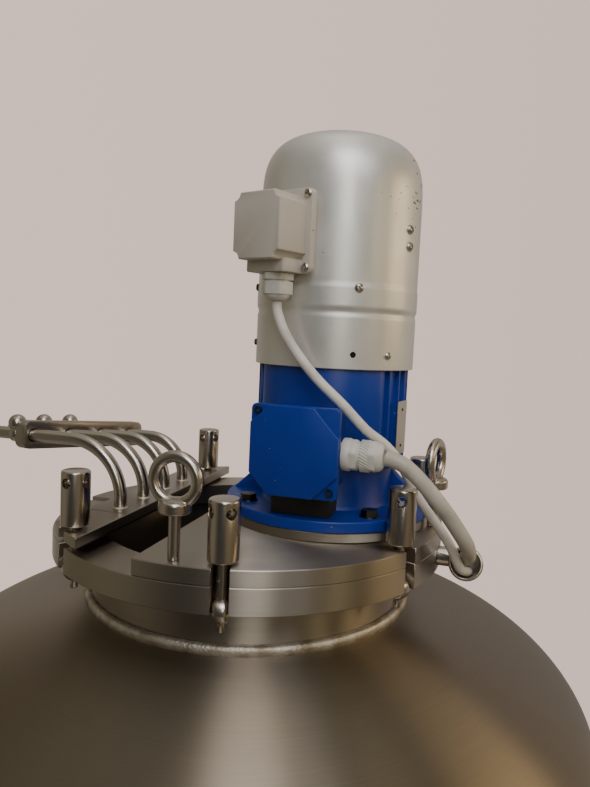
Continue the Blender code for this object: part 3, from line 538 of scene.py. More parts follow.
def moulded(name, colour, roughness, grain_size, depth):
    """Moulded or extruded plastic: even colour with handling marks and a fine skin."""
    material, shader, spot = start_finish(name, roughness=roughness, ior=1.5)
    soil = add_node(material, "TexNoise", {"Vector": spot, "Scale": 38, "Detail": 5, "Roughness": 0.6})["Fac"]
    stops = [(at, tint(colour, factor)) for at, factor in ((0.3, 0.74), (0.5, 0.96), (0.7, 1.06))]
    tone = add_node(material, "ValToRGB", {"Fac": soil}, stops=stops)["Color"]
    rough = add_node(material, "MapRange", {"Value": soil, "From Min": 0.3, "From Max": 0.7,
                                            "To Min": roughness * 1.2, "To Max": roughness * 0.85})["Result"]
    skin = add_node(material, "TexNoise", {"Vector": spot, "Scale": 1 / grain_size})["Fac"]
    bump = add_node(material, "Bump", {"Strength": 0.5, "Distance": depth, "Height": skin})["Normal"]
    link(material, shader, {"Base Color": tone, "Roughness": rough, "Normal": bump})
    return material


def usual_slot(slot):
    """Name the slot a finish belongs to. It is made when first asked for, and then handed out again."""
    def wrap(maker):
        made = []

        def give():
            if not made:
                made.append(maker())
            return made[0]
        give.slot = slot
        return give
    return wrap


@usual_slot("satin_steel")
def vessel_sheet():
    # Cold rolled stainless sheet, spun and brushed: a dull, warm grey mirror with soft cloudy marks
    return worked_steel("brushed_stainless_sheet", look().sheet_steel, 0.4, lines="round", pitch=0.0022,
                        depth=0.00005, cloud=0.16, contrast=0.12, drawn=0.97)


@usual_slot("satin_steel")
def pickled_sheet():
    # The inside of the vessel, pickled and never brushed: dull and dark, with cloudy patches
    return worked_steel("pickled_stainless_sheet", srgb("#5b564e"), 0.55, lines="round", pitch=0.003,
                        depth=0.00004, cloud=0.08, contrast=0.12, drawn=0)


@usual_slot("machined_steel")
def turned_plate():
    # Stainless plate, faced on a lathe: satin, with rings round the axis and crisp bright edges
    return worked_steel("turned_stainless_plate", look().plate_steel, 0.37, lines="round", pitch=0.0014,
                        depth=0.00003, cloud=0.06, contrast=0.09, drawn=0.95)


@usual_slot("machined_steel")
def ground_bar():
    # Stainless flat bar, ground lengthwise: satin, a little duller than the turned plate
    return worked_steel("ground_stainless_bar", look().plate_steel, 0.32, lines="along", pitch=0.0014,
                        depth=0.00003, cloud=0.06, contrast=0.09, drawn=0.6)


@usual_slot("polished_steel")
def bright_bar():
    # Stainless round bar, turned and polished: sharp highlights with faint turning marks
    return worked_steel("polished_stainless_bar", look().bright_steel, 0.23, lines="level", pitch=0.0016,
                        depth=0.00001, cloud=0.03, contrast=0.05, drawn=0.35)


@usual_slot("polished_steel")
def forged_steel():
    # Forged stainless, tumbled and polished: bright, with a slightly uneven skin
    return worked_steel("forged_stainless", look().bright_steel, 0.26, lines="level", pitch=0.004,
                        depth=0.00006, cloud=0.012, contrast=0.08, drawn=0)


@usual_slot("polished_steel")
def dark_hardware():
    # Phosphated steel screws and sockets: dark, half matt
    return worked_steel("phosphated_steel", srgb("#54544c"), 0.38, lines="level", pitch=0.0012,
                        depth=0.00005, cloud=0.01, contrast=0.2)


@usual_slot("plate_metal")
def plain_label():
    # Bare aluminium plate, anodised and left blank: pale and even, with a fine roll grain
    return worked_steel("anodised_aluminium", srgb("#d5cfc4"), 0.42, lines="level", pitch=0.0011,
                        depth=0.00004, cloud=0.03, contrast=0.08)


@usual_slot("satin_steel")
def weld_metal():
    # Stainless weld bead, left as welded: pale matt ripples with straw and brown heat tint
    return bead_metal("stainless_weld", ("#a79c88", "#cdc5b8", "#e2ddd4"), 0.52)


@usual_slot("satin_steel")
def dressed_weld():
    # Stainless weld bead brushed down with the sheet: close to the sheet's own tone
    return bead_metal("brushed_stainless_weld", ("#8a7f70", "#9a8f80", "#a89e90"), 0.42)


@usual_slot("motor_blue")
def motor_enamel():
    # Blue machine enamel on a casting: deep, half gloss, with orange peel and pale chips
    return enamel("blue_machine_enamel", look().motor_blue, 0.36, peel=0.003, depth=0.00006,
                  wear=srgb("#8c93a0"), worn_at=(0.076, -0.145, LID_Z + 0.094, 0.02), coat=0)


@usual_slot("cowl_grey")
def cowl_paint():
    # Silver paint on pressed sheet: aluminium flake, half matt, with broad soft highlights
    return enamel("silver_sheet_paint", look().cowl_silver, 0.39, peel=0.0012, depth=0.00003,
                  wear=srgb("#4b463f"), worn_at=(0.198, -0.03, LID_Z + 0.42, 0.065), metallic=0.6,
                  fleck=0.05, coat=0.1)


@usual_slot("box_grey")
def box_paint():
    # Warm grey powder coat on a cast box: matt, with a fine even grain
    return enamel("grey_powder_coat", look().box_grey, 0.48, peel=0.0011, depth=0.00006,
                  wear=srgb("#6f695f"), worn_at=(0, 0, 0, 0.01), coat=0)


@usual_slot("gland_white")
def gland_polyamide():
    # Moulded polyamide: off-white, faintly waxy
    return moulded("moulded_polyamide", look().gland_white, 0.42, grain_size=0.001, depth=0.00005)


@usual_slot("cable_grey")
def thin_jacket():
    # Extruded PVC jacket: pale grey, smooth, soiled where hands pull it
    return moulded("extruded_pvc_thin", look().thin_jacket, 0.44, grain_size=0.0016, depth=0.00006)


@usual_slot("cable_grey")
def thick_jacket():
    # Extruded PVC jacket of the heavier cable: a warmer grey
    return moulded("extruded_pvc_thick", look().thick_jacket, 0.44, grain_size=0.0018, depth=0.00008)


@usual_slot("black_rubber")
def black_rubber():
    # Cut rubber sheet: near black, matt, with a dusty bloom. The same near black also serves as painted shade
    # in the pocket under the terminal box and in the cowl's hole
    return moulded("cut_rubber_sheet", srgb("#24211e"), 0.72, grain_size=0.0008, depth=0.00012)


# Small fittings

def hex_screw(name, radius, height, steps=6):
    """Hexagon head with its corners turned off, standing on z = 0."""
    head = plate(name, circle(radius, steps), 0, height)
    rim = radius * 1.01
    cone = lathe(name + "_cone", [(0, height), (radius * 0.86, height), (rim, height - radius * 0.12),
                                  (rim, 0), (0, 0)], 36)
    return combine(head, cone, "INTERSECT")


def pan_screw(name, radius, height):
    """Domed screw head with a cross recess, standing on z = 0."""
    head = lathe(name, [(0, height), (radius * 0.45, height * 0.95), (radius * 0.8, height * 0.7),
                        (radius, height * 0.25), (radius, -height * 0.5), (0, -height * 0.5)], 24)
    for degrees in (20, 110):
        slot = plate(name + "_slot", round_rectangle(radius * 1.15, radius * 0.28, radius * 0.05, 1),
                     height * 0.45, height * 1.5)
        cut(head, place(slot, turn(degrees)))
    return head


def weld_ring(name, radius, z, half_height, half_width, steps, seed):
    """A weld bead round the tank's axis: a ring that is flattened and made a little uneven."""
    rays = [tau * i / 10 for i in range(10)]
    ring = lathe(name, [(radius + half_width * cos(a), z + half_height * sin(a)) for a in rays], steps, True)
    activate(ring)
    bpy.ops.object.mode_set(mode="EDIT")
    bpy.ops.mesh.select_all(action="SELECT")
    bpy.ops.transform.vertex_random(offset=half_width * 0.05, uniform=1, normal=0, seed=seed)
    bpy.ops.object.mode_set(mode="OBJECT")
    return ring


def round_rod(name, points, radius):
    """A round curve along points, with flat ends."""
    curve = bpy.data.curves.new(name, "CURVE")
    curve.dimensions = "3D"
    curve.bevel_depth = radius
    curve.bevel_resolution = 6
    curve.use_fill_caps = True
    spline = curve.splines.new("POLY")
    spline.points.add(len(points) - 1)
    for target, point in zip(spline.points, points):
        target.co = (*point, 1)
    spline.use_smooth = True
    rod = bpy.data.objects.new(name, curve)
    bpy.context.scene.collection.objects.link(rod)
    return rod


def smooth_route(route, steps=4):
    """Points on a smooth curve through the route's own points."""
    points = [Vector(p) + Vector((0, 0, LID_Z)) for p in mm(*route)]
    padded = [points[0] * 2 - points[1]] + points + [points[-1] * 2 - points[-2]]
    out = []
    for a, b, c, d in zip(padded, padded[1:], padded[2:], padded[3:]):
        for t in (k / steps for k in range(steps)):
            out.append(0.5 * ((2 * b) + (c - a) * t + (2 * a - 5 * b + 4 * c - d) * t * t
                              + (3 * b - 3 * c + d - a) * t * t * t))
    return out + points[-1:]


def head_skin(sizes, tangent, side, inner, steps=26):
    """Closed half section of a head's wall, from the hole at its middle to the tangent line."""
    def skin(radius, depth):
        first = asin(inner / radius)
        angles = [first + (pi / 2 - first) * i / steps for i in range(steps + 1)]
        return [(radius * sin(a), tangent + side * depth * cos(a)) for a in angles]
    outer = skin(sizes.radius, sizes.head_depth)
    return outer + skin(sizes.radius - sizes.wall, sizes.head_depth - sizes.wall)[::-1]


def slot_tools(sizes, centre):
    """Cutters for all seven bolt slots: open to the rim, round at their inner end."""
    half, past = sizes.slot_width / 2, sizes.flange_radius + 0.03
    outline = arc((centre, 0), half, 90, 270, 16) + [(past, -half), (past, half)]
    return join([place(plate("slot_tool", outline, LID_Z - 0.05, LID_Z + 0.05), turn(180 + k * SLOT_STEP))
                 for k in range(7)])


def tube_place(feed, number):
    """Where a dosing tube lies along Y, and how high its level run is."""
    return (number - 1.5) * feed.tube_pitch, TUBE_TOP - TUBE_STEP * number


def gland_outline(radius):
    """Hexagon with softened corners."""
    return [polar(radius, 60 * k + offset) for k in range(6) for offset in (-4, 4)]


# The studio and the pieces, one operator each

class TANK_OT_stage(bpy.types.Operator):
    """Add the studio: floor, backdrop light, soft lights and the camera"""
    bl_idname = "tank.stage"
    bl_label = "Studio"

    def execute(self, context):
        scene = context.scene
        values = scene.tank_studio
        self.add_camera(scene)
        self.add_floor()
        self.add_world(scene, values)
        for name, (azimuth, height, away, size) in LAMPS.items():
            self.add_light(scene, name, azimuth, height, away, size, getattr(values, name + "_power"),
                           getattr(values, name + "_colour"))
        return {"FINISHED"}

    def add_camera(self, scene):
        data = bpy.data.cameras.new("camera")
        data.sensor_fit = "AUTO"
        data.sensor_width = 36
        data.lens = 30.468
        data.shift_x, data.shift_y = -0.02368, -0.00465   # the photograph's own framing
        data.clip_start = 0.02
        scene.camera = bpy.data.objects.new("camera", data)
        scene.collection.objects.link(scene.camera)
        yaw, pitch, roll = radians(-14.647), radians(4.737), radians(2.759)
        forward = Vector((sin(yaw) * cos(pitch), cos(yaw) * cos(pitch), -sin(pitch)))
        right = Vector((cos(yaw), -sin(yaw), 0))
        up = right.cross(forward)
        side, top = cos(roll) * right + sin(roll) * up, cos(roll) * up - sin(roll) * right
        basis = Matrix((side, top, -forward)).transposed().to_4x4()
        scene.camera.matrix_world = shift(0.2881, -0.8142, 1.5941) @ basis

    def add_floor(self):
        floor = lathe("studio_floor", [(0, 0), (1.2, 0), (3.2, 0)], 96)
        material, shader, spot = start_finish("studio_floor", roughness=0.75)
        mottle = add_node(material, "TexNoise", {"Vector": spot, "Scale": 5, "Detail": 5})["Fac"]
        tone = add_node(material, "Mix", {"Factor": mottle, 6: tint(look().floor, 0.96),
                                          7: tint(look().floor, 1.02)}, data_type="RGBA")[2]
        # The floor thins out before its rim, so no edge shows against the backdrop
        reach = add_node(material, "VectorMath", {0: spot}, operation="LENGTH")["Value"]
        fade = add_node(material, "MapRange", {"Value": reach, "From Min": 1, "From Max": 2.3, "To Min": 1,
                                               "To Max": 0}, interpolation_type="SMOOTHSTEP")["Result"]
        link(material, shader, {"Base Color": tone, "Alpha": fade})
        floor.data.materials.append(material)

    def add_world(self, scene, values):
        """Pale wall behind the tank, ceiling, and a dim room to each side, each fading into the next."""
        scene.world = world = bpy.data.worlds.new("studio")
        world.use_nodes = True
        way = add_node(world, "TexCoord")["Generated"]
        axes = add_node(world, "SeparateXYZ", {"Vector": way})
        room = grey(0)
        for name, (axis, start, end) in ROOM.items():
            part = add_node(world, "MapRange", {"Value": axes[axis], "From Min": start, "From Max": end},
                            interpolation_type="SMOOTHSTEP")["Result"]
            glow = (*getattr(values, name + "_glow"), 1)
            lit = add_node(world, "Mix", {"Factor": part, 6: grey(0), 7: glow}, data_type="RGBA")[2]
            room = add_node(world, "Mix", {"Factor": 1, 6: room, 7: lit}, data_type="RGBA",
                            blend_type="ADD")[2]
        # The wall that the camera sees is a little brighter on the left
        slope = add_node(world, "MapRange", {"Value": axes["X"], "From Min": -0.55, "From Max": 0.25,
                                             "To Min": 1.05, "To Max": 0.93})["Result"]
        seen = add_node(world, "VectorMath", {0: values.wall_seen, "Scale": slope},
                        operation="SCALE")["Vector"]
        ray = add_node(world, "LightPath")["Is Camera Ray"]
        shown = add_node(world, "Mix", {"Factor": ray, 6: room, 7: seen}, data_type="RGBA")[2]
        link(world, world.node_tree.nodes["Background"], {"Color": shown})

    def add_light(self, scene, name, azimuth, height, away, size, power, colour):
        """A soft panel that faces the tank's top from azimuth and height, in degrees."""
        data = bpy.data.lights.new(name, "AREA")
        data.shape = "RECTANGLE"
        data.size, data.size_y = size
        data.energy = power
        data.color = colour[:3]
        light = bpy.data.objects.new(name, data)
        scene.collection.objects.link(light)
        target = Vector((0.05, 0, LID_Z + 0.05))
        light.location = target + away * Vector((*polar(cos(radians(height)), azimuth), sin(radians(height))))
        light.rotation_euler = (target - light.location).to_track_quat("-Z", "Y").to_euler()
        light.visible_camera = False


class TANK_OT_cables(bpy.types.Operator):
    """Add the fan cable and the motor cable"""
    bl_idname = "tank.cables"
    bl_label = "Cables"

    def execute(self, context):
        for name, route, radius, jacket in (("fan_cable", FAN_CABLE_ROUTE, 0.0055, thin_jacket),
                                            ("motor_cable", MOTOR_CABLE_ROUTE, 0.0085, thick_jacket)):
            points = smooth_route(route)
            cable = round_rod(name + "_jacket", points, radius)
            cable.data.materials.append(jacket())
            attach(cable, "root")
            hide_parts(name)
        return {"FINISHED"}


class TANK_OT_vessel(bpy.types.Operator):
    """Add both heads, the shell and the welds between them"""
    bl_idname = "tank.vessel"
    bl_label = "Vessel"

    def execute(self, context):
        sizes = context.scene.tank_vessel
        high, low, outer = sizes.top_tangent, sizes.low_tangent, sizes.radius
        inner, gap = outer - sizes.wall, 0.0003
        wall = [(outer, high - gap), (outer, low + gap), (inner, low + gap), (inner, high - gap)]
        for name, profile, node, tangent, angle in (
                ("top_dish", head_skin(sizes, high, 1, sizes.neck_radius + gap), "top_head", high, 40),
                ("low_dish", head_skin(sizes, low, -1, 0.0305), "bottom_head", low, 40),
                ("shell_sheet", wall, "shell", high, 32)):
            piece = finish(lathe(name, profile, 192, True), vessel_sheet, node, angle=angle)
            self.line_inside(piece, tangent)
        for name, z in (("top_weld", high), ("low_weld", low)):
            finish_weld(weld_ring(name, outer - 0.0008, z, 0.0032, 0.0017, 288, 4), metal=dressed_weld)
        seam = plate("shell_seam", round_rectangle(0.006, 0.0034, 0.0016, 4), low, high)
        finish_weld(place(seam, turn(112) @ shift(x=outer - 0.0008) @ turn(90)), metal=dressed_weld)
        return {"FINISHED"}

    def line_inside(self, piece, tangent):
        """Give the faces that look into the vessel its inside finish."""
        piece.data.materials.append(pickled_sheet())
        pick_faces(piece, lambda c, n: n.dot(Vector((c.x, c.y, c.z - tangent))) < 0)
        piece.active_material_index = 1
        bpy.ops.object.material_slot_assign()
        bpy.ops.object.mode_set(mode="OBJECT")
        piece.active_material_index = 0


class TANK_OT_outlet(bpy.types.Operator):
    """Add the bottom outlet with its bolted flange"""
    bl_idname = "tank.outlet"
    bl_label = "Outlet"

    def execute(self, context):
        sizes = context.scene.tank_vessel
        apex = sizes.low_tangent - sizes.head_depth
        face, back, top, outer, bore = 0.19, 0.208, apex + sizes.wall, 0.0825, 0.0273
        nozzle = lathe("outlet_pipe", [(0.0302, top), (0.0302, back + 0.006), (0.0345, back),
                                       (outer - 0.001, back), (outer, back - 0.001), (outer, face + 0.001),
                                       (outer - 0.001, face), (bore, face), (bore, top)], 96, True)
        for k in range(4):
            hole = plate("outlet_hole", circle(0.009, 32), face - 0.01, back + 0.01)
            cut(nozzle, place(hole, turn(45 + 90 * k) @ shift(x=0.0625)))
        finish(nozzle, turned_plate, "outlet_nozzle", slot="satin_steel")
        finish_weld(weld_ring("outlet_weld", 0.0312, apex, 0.003, 0.003, 96, 6))
        return {"FINISHED"}


class TANK_OT_legs(bpy.types.Operator):
    """Add the four tube legs with their foot plates, webs and pads"""
    bl_idname = "tank.legs"
    bl_label = "Legs"

    def execute(self, context):
        sizes = context.scene.tank_vessel
        reach, tube, top = LEG_REACH, LEG_R, LEG_TOP
        post = lathe("leg", [(0, top), (tube - 0.01, top), (tube - 0.0045, top - 0.0018),
                             (tube - 0.0015, top - 0.005), (tube, top - 0.01), (tube, 0.01), (0, 0.01)], 48)
        foot = plate("leg_foot", round_rectangle(0.15, 0.15, 0.01), 0, 0.012)
        for side in (0.052, -0.052):
            cut(foot, place(plate("leg_hole", circle(0.008, 24), -0.01, 0.03), shift(side, side)))
        for piece in (post, round_edges(foot, 0.001)):
            place(piece, shift(x=reach))
        inner, outer = sizes.radius + 0.0003, sizes.radius + 0.0063
        half = 0.08 / outer * 180 / pi
        pad = plate("leg_pad", arc((0, 0), outer, -half, half, 12) + arc((0, 0), inner, half, -half, 12),
                    0.5, 0.73)
        web = plate("leg_web", rectangle(outer - 0.003, reach - tube / 2, 0.005), 0.515, 0.715)
        root = place(weld_ring("leg_bead", tube + 0.0005, 0.0125, 0.0028, 0.0028, 64, 2), shift(x=reach))
        leg = join([post, foot, round_edges(pad, 0.001), web])
        for number in range(1, 5):
            spot = turn(90 * number - 45)
            finish(copy_to(leg, f"tank_leg_{number}", spot), vessel_sheet, f"leg_{number}")
            finish_weld(copy_to(root, f"foot_weld_{number}", spot))
        throw_away(leg, root)
        return {"FINISHED"}


class TANK_OT_neck(bpy.types.Operator):
    """Add the neck, the lower flange and their welds"""
    bl_idname = "tank.neck"
    bl_label = "Neck and flange"

    def execute(self, context):
        scene = context.scene
        vessel, sizes = scene.tank_vessel, scene.tank_closure
        r, low, high = vessel.neck_radius, LID_Z - 0.108, LID_Z - 0.0288
        bore = r - vessel.neck_wall
        neck = lathe("neck_tube", [(r, high), (r, low), (bore, low), (bore, high)], 192, True)
        finish(neck, turned_plate, "neck", slot="satin_steel")
        finish_weld(weld_ring("neck_weld", r + 0.0028, LID_Z - 0.0832, 0.0071, 0.0051, 420, 9))
        fillet = [(r - 0.0005, high - 0.004), (r + 0.0012, high - 0.0018), (r + 0.004, high + 0.0003),
                  (r - 0.0005, high + 0.0003)]
        finish_weld(lathe("flange_fillet", fillet, 192, True))
        section = turned_disc(sizes.flange_radius, LID_Z - sizes.flange_thickness, LID_Z, sizes.edge)
        flange = lathe("flange_ring", [(max(r, sizes.flange_bore), z) for r, z in section], 252, True)
        cut(flange, slot_tools(sizes, 0.2208))
        finish(round_edges(flange, 0.0005, 1, 60), turned_plate, "lower_flange")
        return {"FINISHED"}


class TANK_OT_lid(bpy.types.Operator):
    """Add the lid, a disc cut straight on the dosing side"""
    bl_idname = "tank.lid"
    bl_label = "Lid"

    def execute(self, context):
        sizes = context.scene.tank_closure
        disc = turned_disc(sizes.flange_radius, LID_Z + 0.0003, LID_Z + sizes.lid_thickness, sizes.edge)
        lid = lathe("lid_plate", disc, 252)
        cut(lid, plate("lid_cut", rectangle(-0.3, LID_CUT_X), LID_Z - 0.02, LID_Z + 0.05))
        cut(lid, slot_tools(sizes, sizes.bolt_circle))
        finish(round_edges(lid, 0.0006, 1, 60), turned_plate, "lid")
        return {"FINISHED"}


class TANK_OT_dosing_bar(bpy.types.Operator):
    """Add the dosing bar across the opening and the seal under it"""
    bl_idname = "tank.dosing_bar"
    bl_label = "Dosing bar"

    def execute(self, context):
        scene = context.scene
        near, far = scene.tank_feed.bar_near, scene.tank_feed.bar_far
        sizes = scene.tank_closure
        top, bottom, radius = LID_Z + 0.0186, LID_Z + 0.0066, sizes.flange_radius
        bar = self.add_strip(sizes, "bar_plate", turned_disc(radius, bottom, top, sizes.edge), far, near)
        scribe = [(-0.176, -0.1085), (-0.1215, -0.1085), (-0.1215, -0.109), (-0.176, -0.109)]
        cut(bar, plate("bar_scribe", scribe, top - 0.0004, top + 0.01))
        finish(round_edges(bar, 0.0007, 1, 60), ground_bar, "dosing_bar")
        under = turned_disc(radius - 0.01, LID_Z + 0.0003, bottom - 0.0003, 0.0008)
        seal = self.add_strip(sizes, "seal_strip", under, far + 0.006, near - 0.008)
        finish(seal, black_rubber, "bar_seal")
        return {"FINISHED"}

    def add_strip(self, sizes, name, disc, left, right):
        """What is left of a disc between two straight cuts, with the bolt slots in it."""
        piece = lathe(name, disc, 252)
        combine(piece, plate(name + "_cut", rectangle(left, right), LID_Z - 0.02, LID_Z + 0.04), "INTERSECT")
        return cut(piece, slot_tools(sizes, sizes.bolt_circle))


class TANK_OT_bolts(bpy.types.Operator):
    """Add the six clamp bolts with their eyes, and the barrel nuts on them"""
    bl_idname = "tank.bolts"
    bl_label = "Clamp bolts and nuts"

    def execute(self, context):
        sizes = context.scene.tank_closure
        bolt, nut = self.make_bolt(), self.make_nut(sizes)
        for number, degrees in enumerate(NUT_TURNS, 1):
            spot = turn(180 + number * SLOT_STEP) @ shift(x=sizes.bolt_circle, z=LID_Z)
            for name, model, where, node in (("swing_bolt", bolt, spot, "clamp_bolt"),
                                             ("tommy_nut", nut, spot @ turn(degrees), "barrel_nut")):
                finish(copy_to(model, f"{name}_{number}", where), bright_bar, f"{node}_{number}", angle=40)
        throw_away(bolt, nut)
        return {"FINISHED"}

    def make_bolt(self):
        """Round shank, an eye with a rounded rim across it, and a stub below."""
        bolt = lathe("bolt", cylinder(0.006, -0.028, 0.0252), 40)
        half = 0.0087
        rim = [(0, half)] + barrel(0.013, -half, half, 0.0058, 6) + [(0, -half)]
        combine(bolt, place(lathe("bolt_eye", rim, 48), shift(z=-0.028) @ turn(90, "X")), "UNION")
        stub = lathe("bolt_stub", mm((0, -30), (4.2, -30), (4.2, -48.8), (3.4, -50), (0, -50)), 28)
        return combine(bolt, stub, "UNION")

    def make_nut(self, sizes):
        """Barrel with rounded ends and two cross holes near its top."""
        low, bore = 0.0212, 0.0063
        high, bore_top = low + sizes.nut_height, low + 0.0043
        profile = [(0, high)] + barrel(sizes.nut_radius, low, high, 0.0024, 5)
        nut = lathe("nut", profile + [(bore, low), (bore, bore_top), (0, bore_top)], 64)
        for degrees in (0, 90):
            drill = plate("nut_drill", circle(0.0056, 40), -0.03, 0.03)
            cut(nut, place(drill, shift(z=high - 0.0126) @ turn(degrees) @ turn(90, "X")))
        return round_edges(nut, 0.0006, 2, 55)


class TANK_OT_lifting_eyes(bpy.types.Operator):
    """Add the three lifting eyes on their studs"""
    bl_idname = "tank.lifting_eyes"
    bl_label = "Lifting eyes"

    def execute(self, context):
        base = lathe("eye", mm((0, 78), (11.6, 78), (15.1, 76.6), (16.3, 74.5), (16.3, 66.4), (15.5, 65),
                               (14.2, 64.6), (0, 64.6)), 64)
        deselect()
        bpy.ops.mesh.primitive_torus_add(major_radius=0.023, minor_radius=0.0061, major_segments=72,
                                         minor_segments=28)
        eye = join([base, place(bpy.context.active_object, shift(z=0.0972) @ turn(90, "Y"))])
        apply_modifier(eye, "REMESH", "forge", mode="VOXEL", voxel_size=0.0008)
        apply_modifier(eye, "SMOOTH", "tumble", factor=0.5, iterations=9)
        stud = lathe("eye_stud", mm((0, 70), (6, 70), (6, 18.2), (5.6, 17.9), (0, 17.9)), 40)
        for number, (degrees, reach, twist) in enumerate(EYE_PLACES, 1):
            spot = turn(degrees) @ shift(x=reach, z=LID_Z)
            eye_nut = copy_to(eye, f"eye_nut_{number}", spot @ turn(twist))
            finish(eye_nut, forged_steel, f"lifting_eye_{number}", angle=60)
            finish(copy_to(stud, f"eye_stud_{number}", spot), bright_bar, angle=40)
        throw_away(eye, stud)
        return {"FINISHED"}


class TANK_OT_dosing_tubes(bpy.types.Operator):
    """Add the four bent dosing tubes with their weld collars"""
    bl_idname = "tank.dosing_tubes"
    bl_label = "Dosing tubes"

    def execute(self, context):
        feed = context.scene.tank_feed
        r = feed.tube_radius
        foot_x, end_x = -0.1436, -0.352
        for number in range(4):
            y, top = tube_place(feed, number)
            bend = min(feed.tube_bend, top - 0.0186 - r)
            run = [(foot_x, 0.0189)] + arc((foot_x - bend, top - bend), bend, 0, 90, 20) + [(end_x, top)]
            tube = round_rod(f"feed_tube_{number + 1}", [(x, y, LID_Z + z) for x, z in run], r)
            activate(tube)
            bpy.ops.object.convert(target="MESH")
            tube = bpy.context.active_object
            bpy.ops.object.mode_set(mode="EDIT")
            close_mesh()
            # The open end
            pick_faces(tube, lambda c, n: n.x < -0.99 and abs(c.x - end_x) < 0.0005)
            bpy.ops.mesh.inset(thickness=0.0013)
            bpy.ops.mesh.extrude_region_move(TRANSFORM_OT_translate={"value": (0.03, 0, 0)})
            finish(tube, bright_bar, f"dosing_tube_{number + 1}", angle=45)
            collar = lathe(f"tube_weld_{number + 1}", [
                (r - 0.0006, 0.0205), (r + 0.0003, 0.02), (r + 0.001, 0.0191), (r + 0.0014, 0.0186),
                (r - 0.0006, 0.0186)], 40, True)
            finish_weld(place(collar, shift(foot_x, y, LID_Z)), slot="polished_steel")
        return {"FINISHED"}


class TANK_OT_tube_clamp(bpy.types.Operator):
    """Add the flat clamp that holds the four dosing tubes, and three valve heads behind it"""
    bl_idname = "tank.tube_clamp"
    bl_label = "Tube clamp"

    def execute(self, context):
        feed = context.scene.tank_feed
        clamp = plate("clamp_plate", round_rectangle(feed.clamp_length, 0.036, 0.011, 6), -0.008, 0.008)
        place(clamp, shift(x=0.008))
        upright = turn(-11.9) @ turn(-6, "X") @ turn(90) @ turn(90, "X")
        place(clamp, shift(CLAMP_X, 0, LID_Z + 0.0896) @ upright)
        for number in range(4):
            y, top = tube_place(feed, number)
            bore = plate("clamp_bore", circle(0.0087, 36), -0.06, 0.06)
            cut(clamp, place(bore, shift(CLAMP_X, y, LID_Z + top) @ turn(90, "Y")))
        round_edges(clamp, 0.0009, 2, 50)
        finish(clamp, ground_bar, "tube_clamp", slot="satin_steel", angle=40)
        ball = [(0, 0.025)] + arc((0, 0.014), 0.011, 84, -62, 16) + mm((5.2, 2), (0, 2))
        head = lathe("valve_head", ball, 40)
        band = lathe("valve_collar", mm((7.8, 4.8), (10, 4.8), (10.4, 4.2), (10.4, -4.2), (10, -4.8),
                                        (7.8, -4.8)), 40, True)
        fitting = join([head, place(band, turn(90, "Y"))])
        for number, x in enumerate((-0.2948, -0.2981, -0.2969)):
            y, top = tube_place(feed, number)
            valve = copy_to(fitting, f"tube_valve_{number + 1}", shift(x, y, LID_Z + top))
            finish(valve, forged_steel, angle=50)
        throw_away(fitting)
        return {"FINISHED"}


class TANK_OT_motor(bpy.types.Operator):
    """Add the steel pad and the motor's cast housing with its ribs, fins and screws"""
    bl_idname = "tank.motor"
    bl_label = "Mixer motor"

    def execute(self, context):
        sizes = context.scene.tank_motor
        pad = lathe("pad_disc", turned_disc(sizes.pad_radius, 0.0179, 0.0288, 0.0008), 160)
        finish(place(pad, MOTOR_SPOT), turned_plate, "motor_pad")
        radius, top, foot, body = sizes.flange_radius, 0.0424, 0.0291, sizes.body_radius
        hub = mm((0, 106), (70, 106), (80, 100), (81.5, 48.4), (84, 43.9), (88, 42.4))
        flange = lathe("motor_housing", hub + barrel(radius, foot, top, 0.0022, 4) + [(0, foot)], 128)
        pieces = [flange]
        outline = [(radius - 0.005, top - 0.004), (radius - 0.005, top + 0.001), (0.072, 0.092),
                   (0.04, 0.092), (0.04, top - 0.004)]
        for degrees in (2, 92, 182):
            rib = round_edges(plate("motor_rib", outline, -0.007, 0.007), 0.0016, 3, 40)
            pieces.append(place(rib, turn(degrees) @ turn(90, "X")))
        pieces.append(round_edges(plate("motor_barrel", self.fin_section(sizes), 0.096, 0.23), 0.0008, 2, 55))
        pieces.append(lathe("motor_lip", [
            (body + 0.004, 0.1), (body + 0.0058, 0.0985), (body + 0.0058, 0.0935), (body + 0.004, 0.0915),
            (0.066, 0.0915), (0.066, 0.1)], 128, True))
        finish(place(join(pieces), MOTOR_SPOT), motor_enamel, "motor_body")
        # Painted shade: a black block in the pocket under the terminal box stands for the deep shadow between
        # the box and the flange
        packing = plate("box_packing", mm((-39, -112), (29, -112), (29, -70), (-39, -70)), top + 0.0002,
                        0.0754)
        finish(place(round_edges(packing, 0.001), MOTOR_SPOT), black_rubber)
        for number, degrees in enumerate((-50, -140, 130, 40), 1):
            screw = hex_screw(f"motor_screw_{number}", 0.0098, 0.0068)
            place(screw, shift(z=0.0014) @ turn(12 * number))
            ring = lathe("motor_screw_ring", mm((0, 1.6), (11.2, 1.6), (11.4, 0), (0, 0)), 36)
            place(join([screw, ring]), MOTOR_SPOT @ turn(degrees) @ shift(x=0.1065, z=top))
            finish(screw, dark_hardware)
        return {"FINISHED"}

    def fin_section(self, sizes):
        """Section of the barrel: smooth towards the terminal box and behind, with fins on both sides."""
        base, half = sizes.body_radius, 0.0018 / 0.09 * 180 / pi
        tip = base + sizes.fin_height
        points = []
        for side in (0, 180):
            for degrees in (-31, -19, -7, 7, 19, 31):
                points += [polar(r, side + degrees + offset)
                           for offset, r in ((-half, base), (-half, tip), (half, tip), (half, base))]
            points += [polar(tip, side + degrees) for degrees in range(39, 142, 3)]
        return points


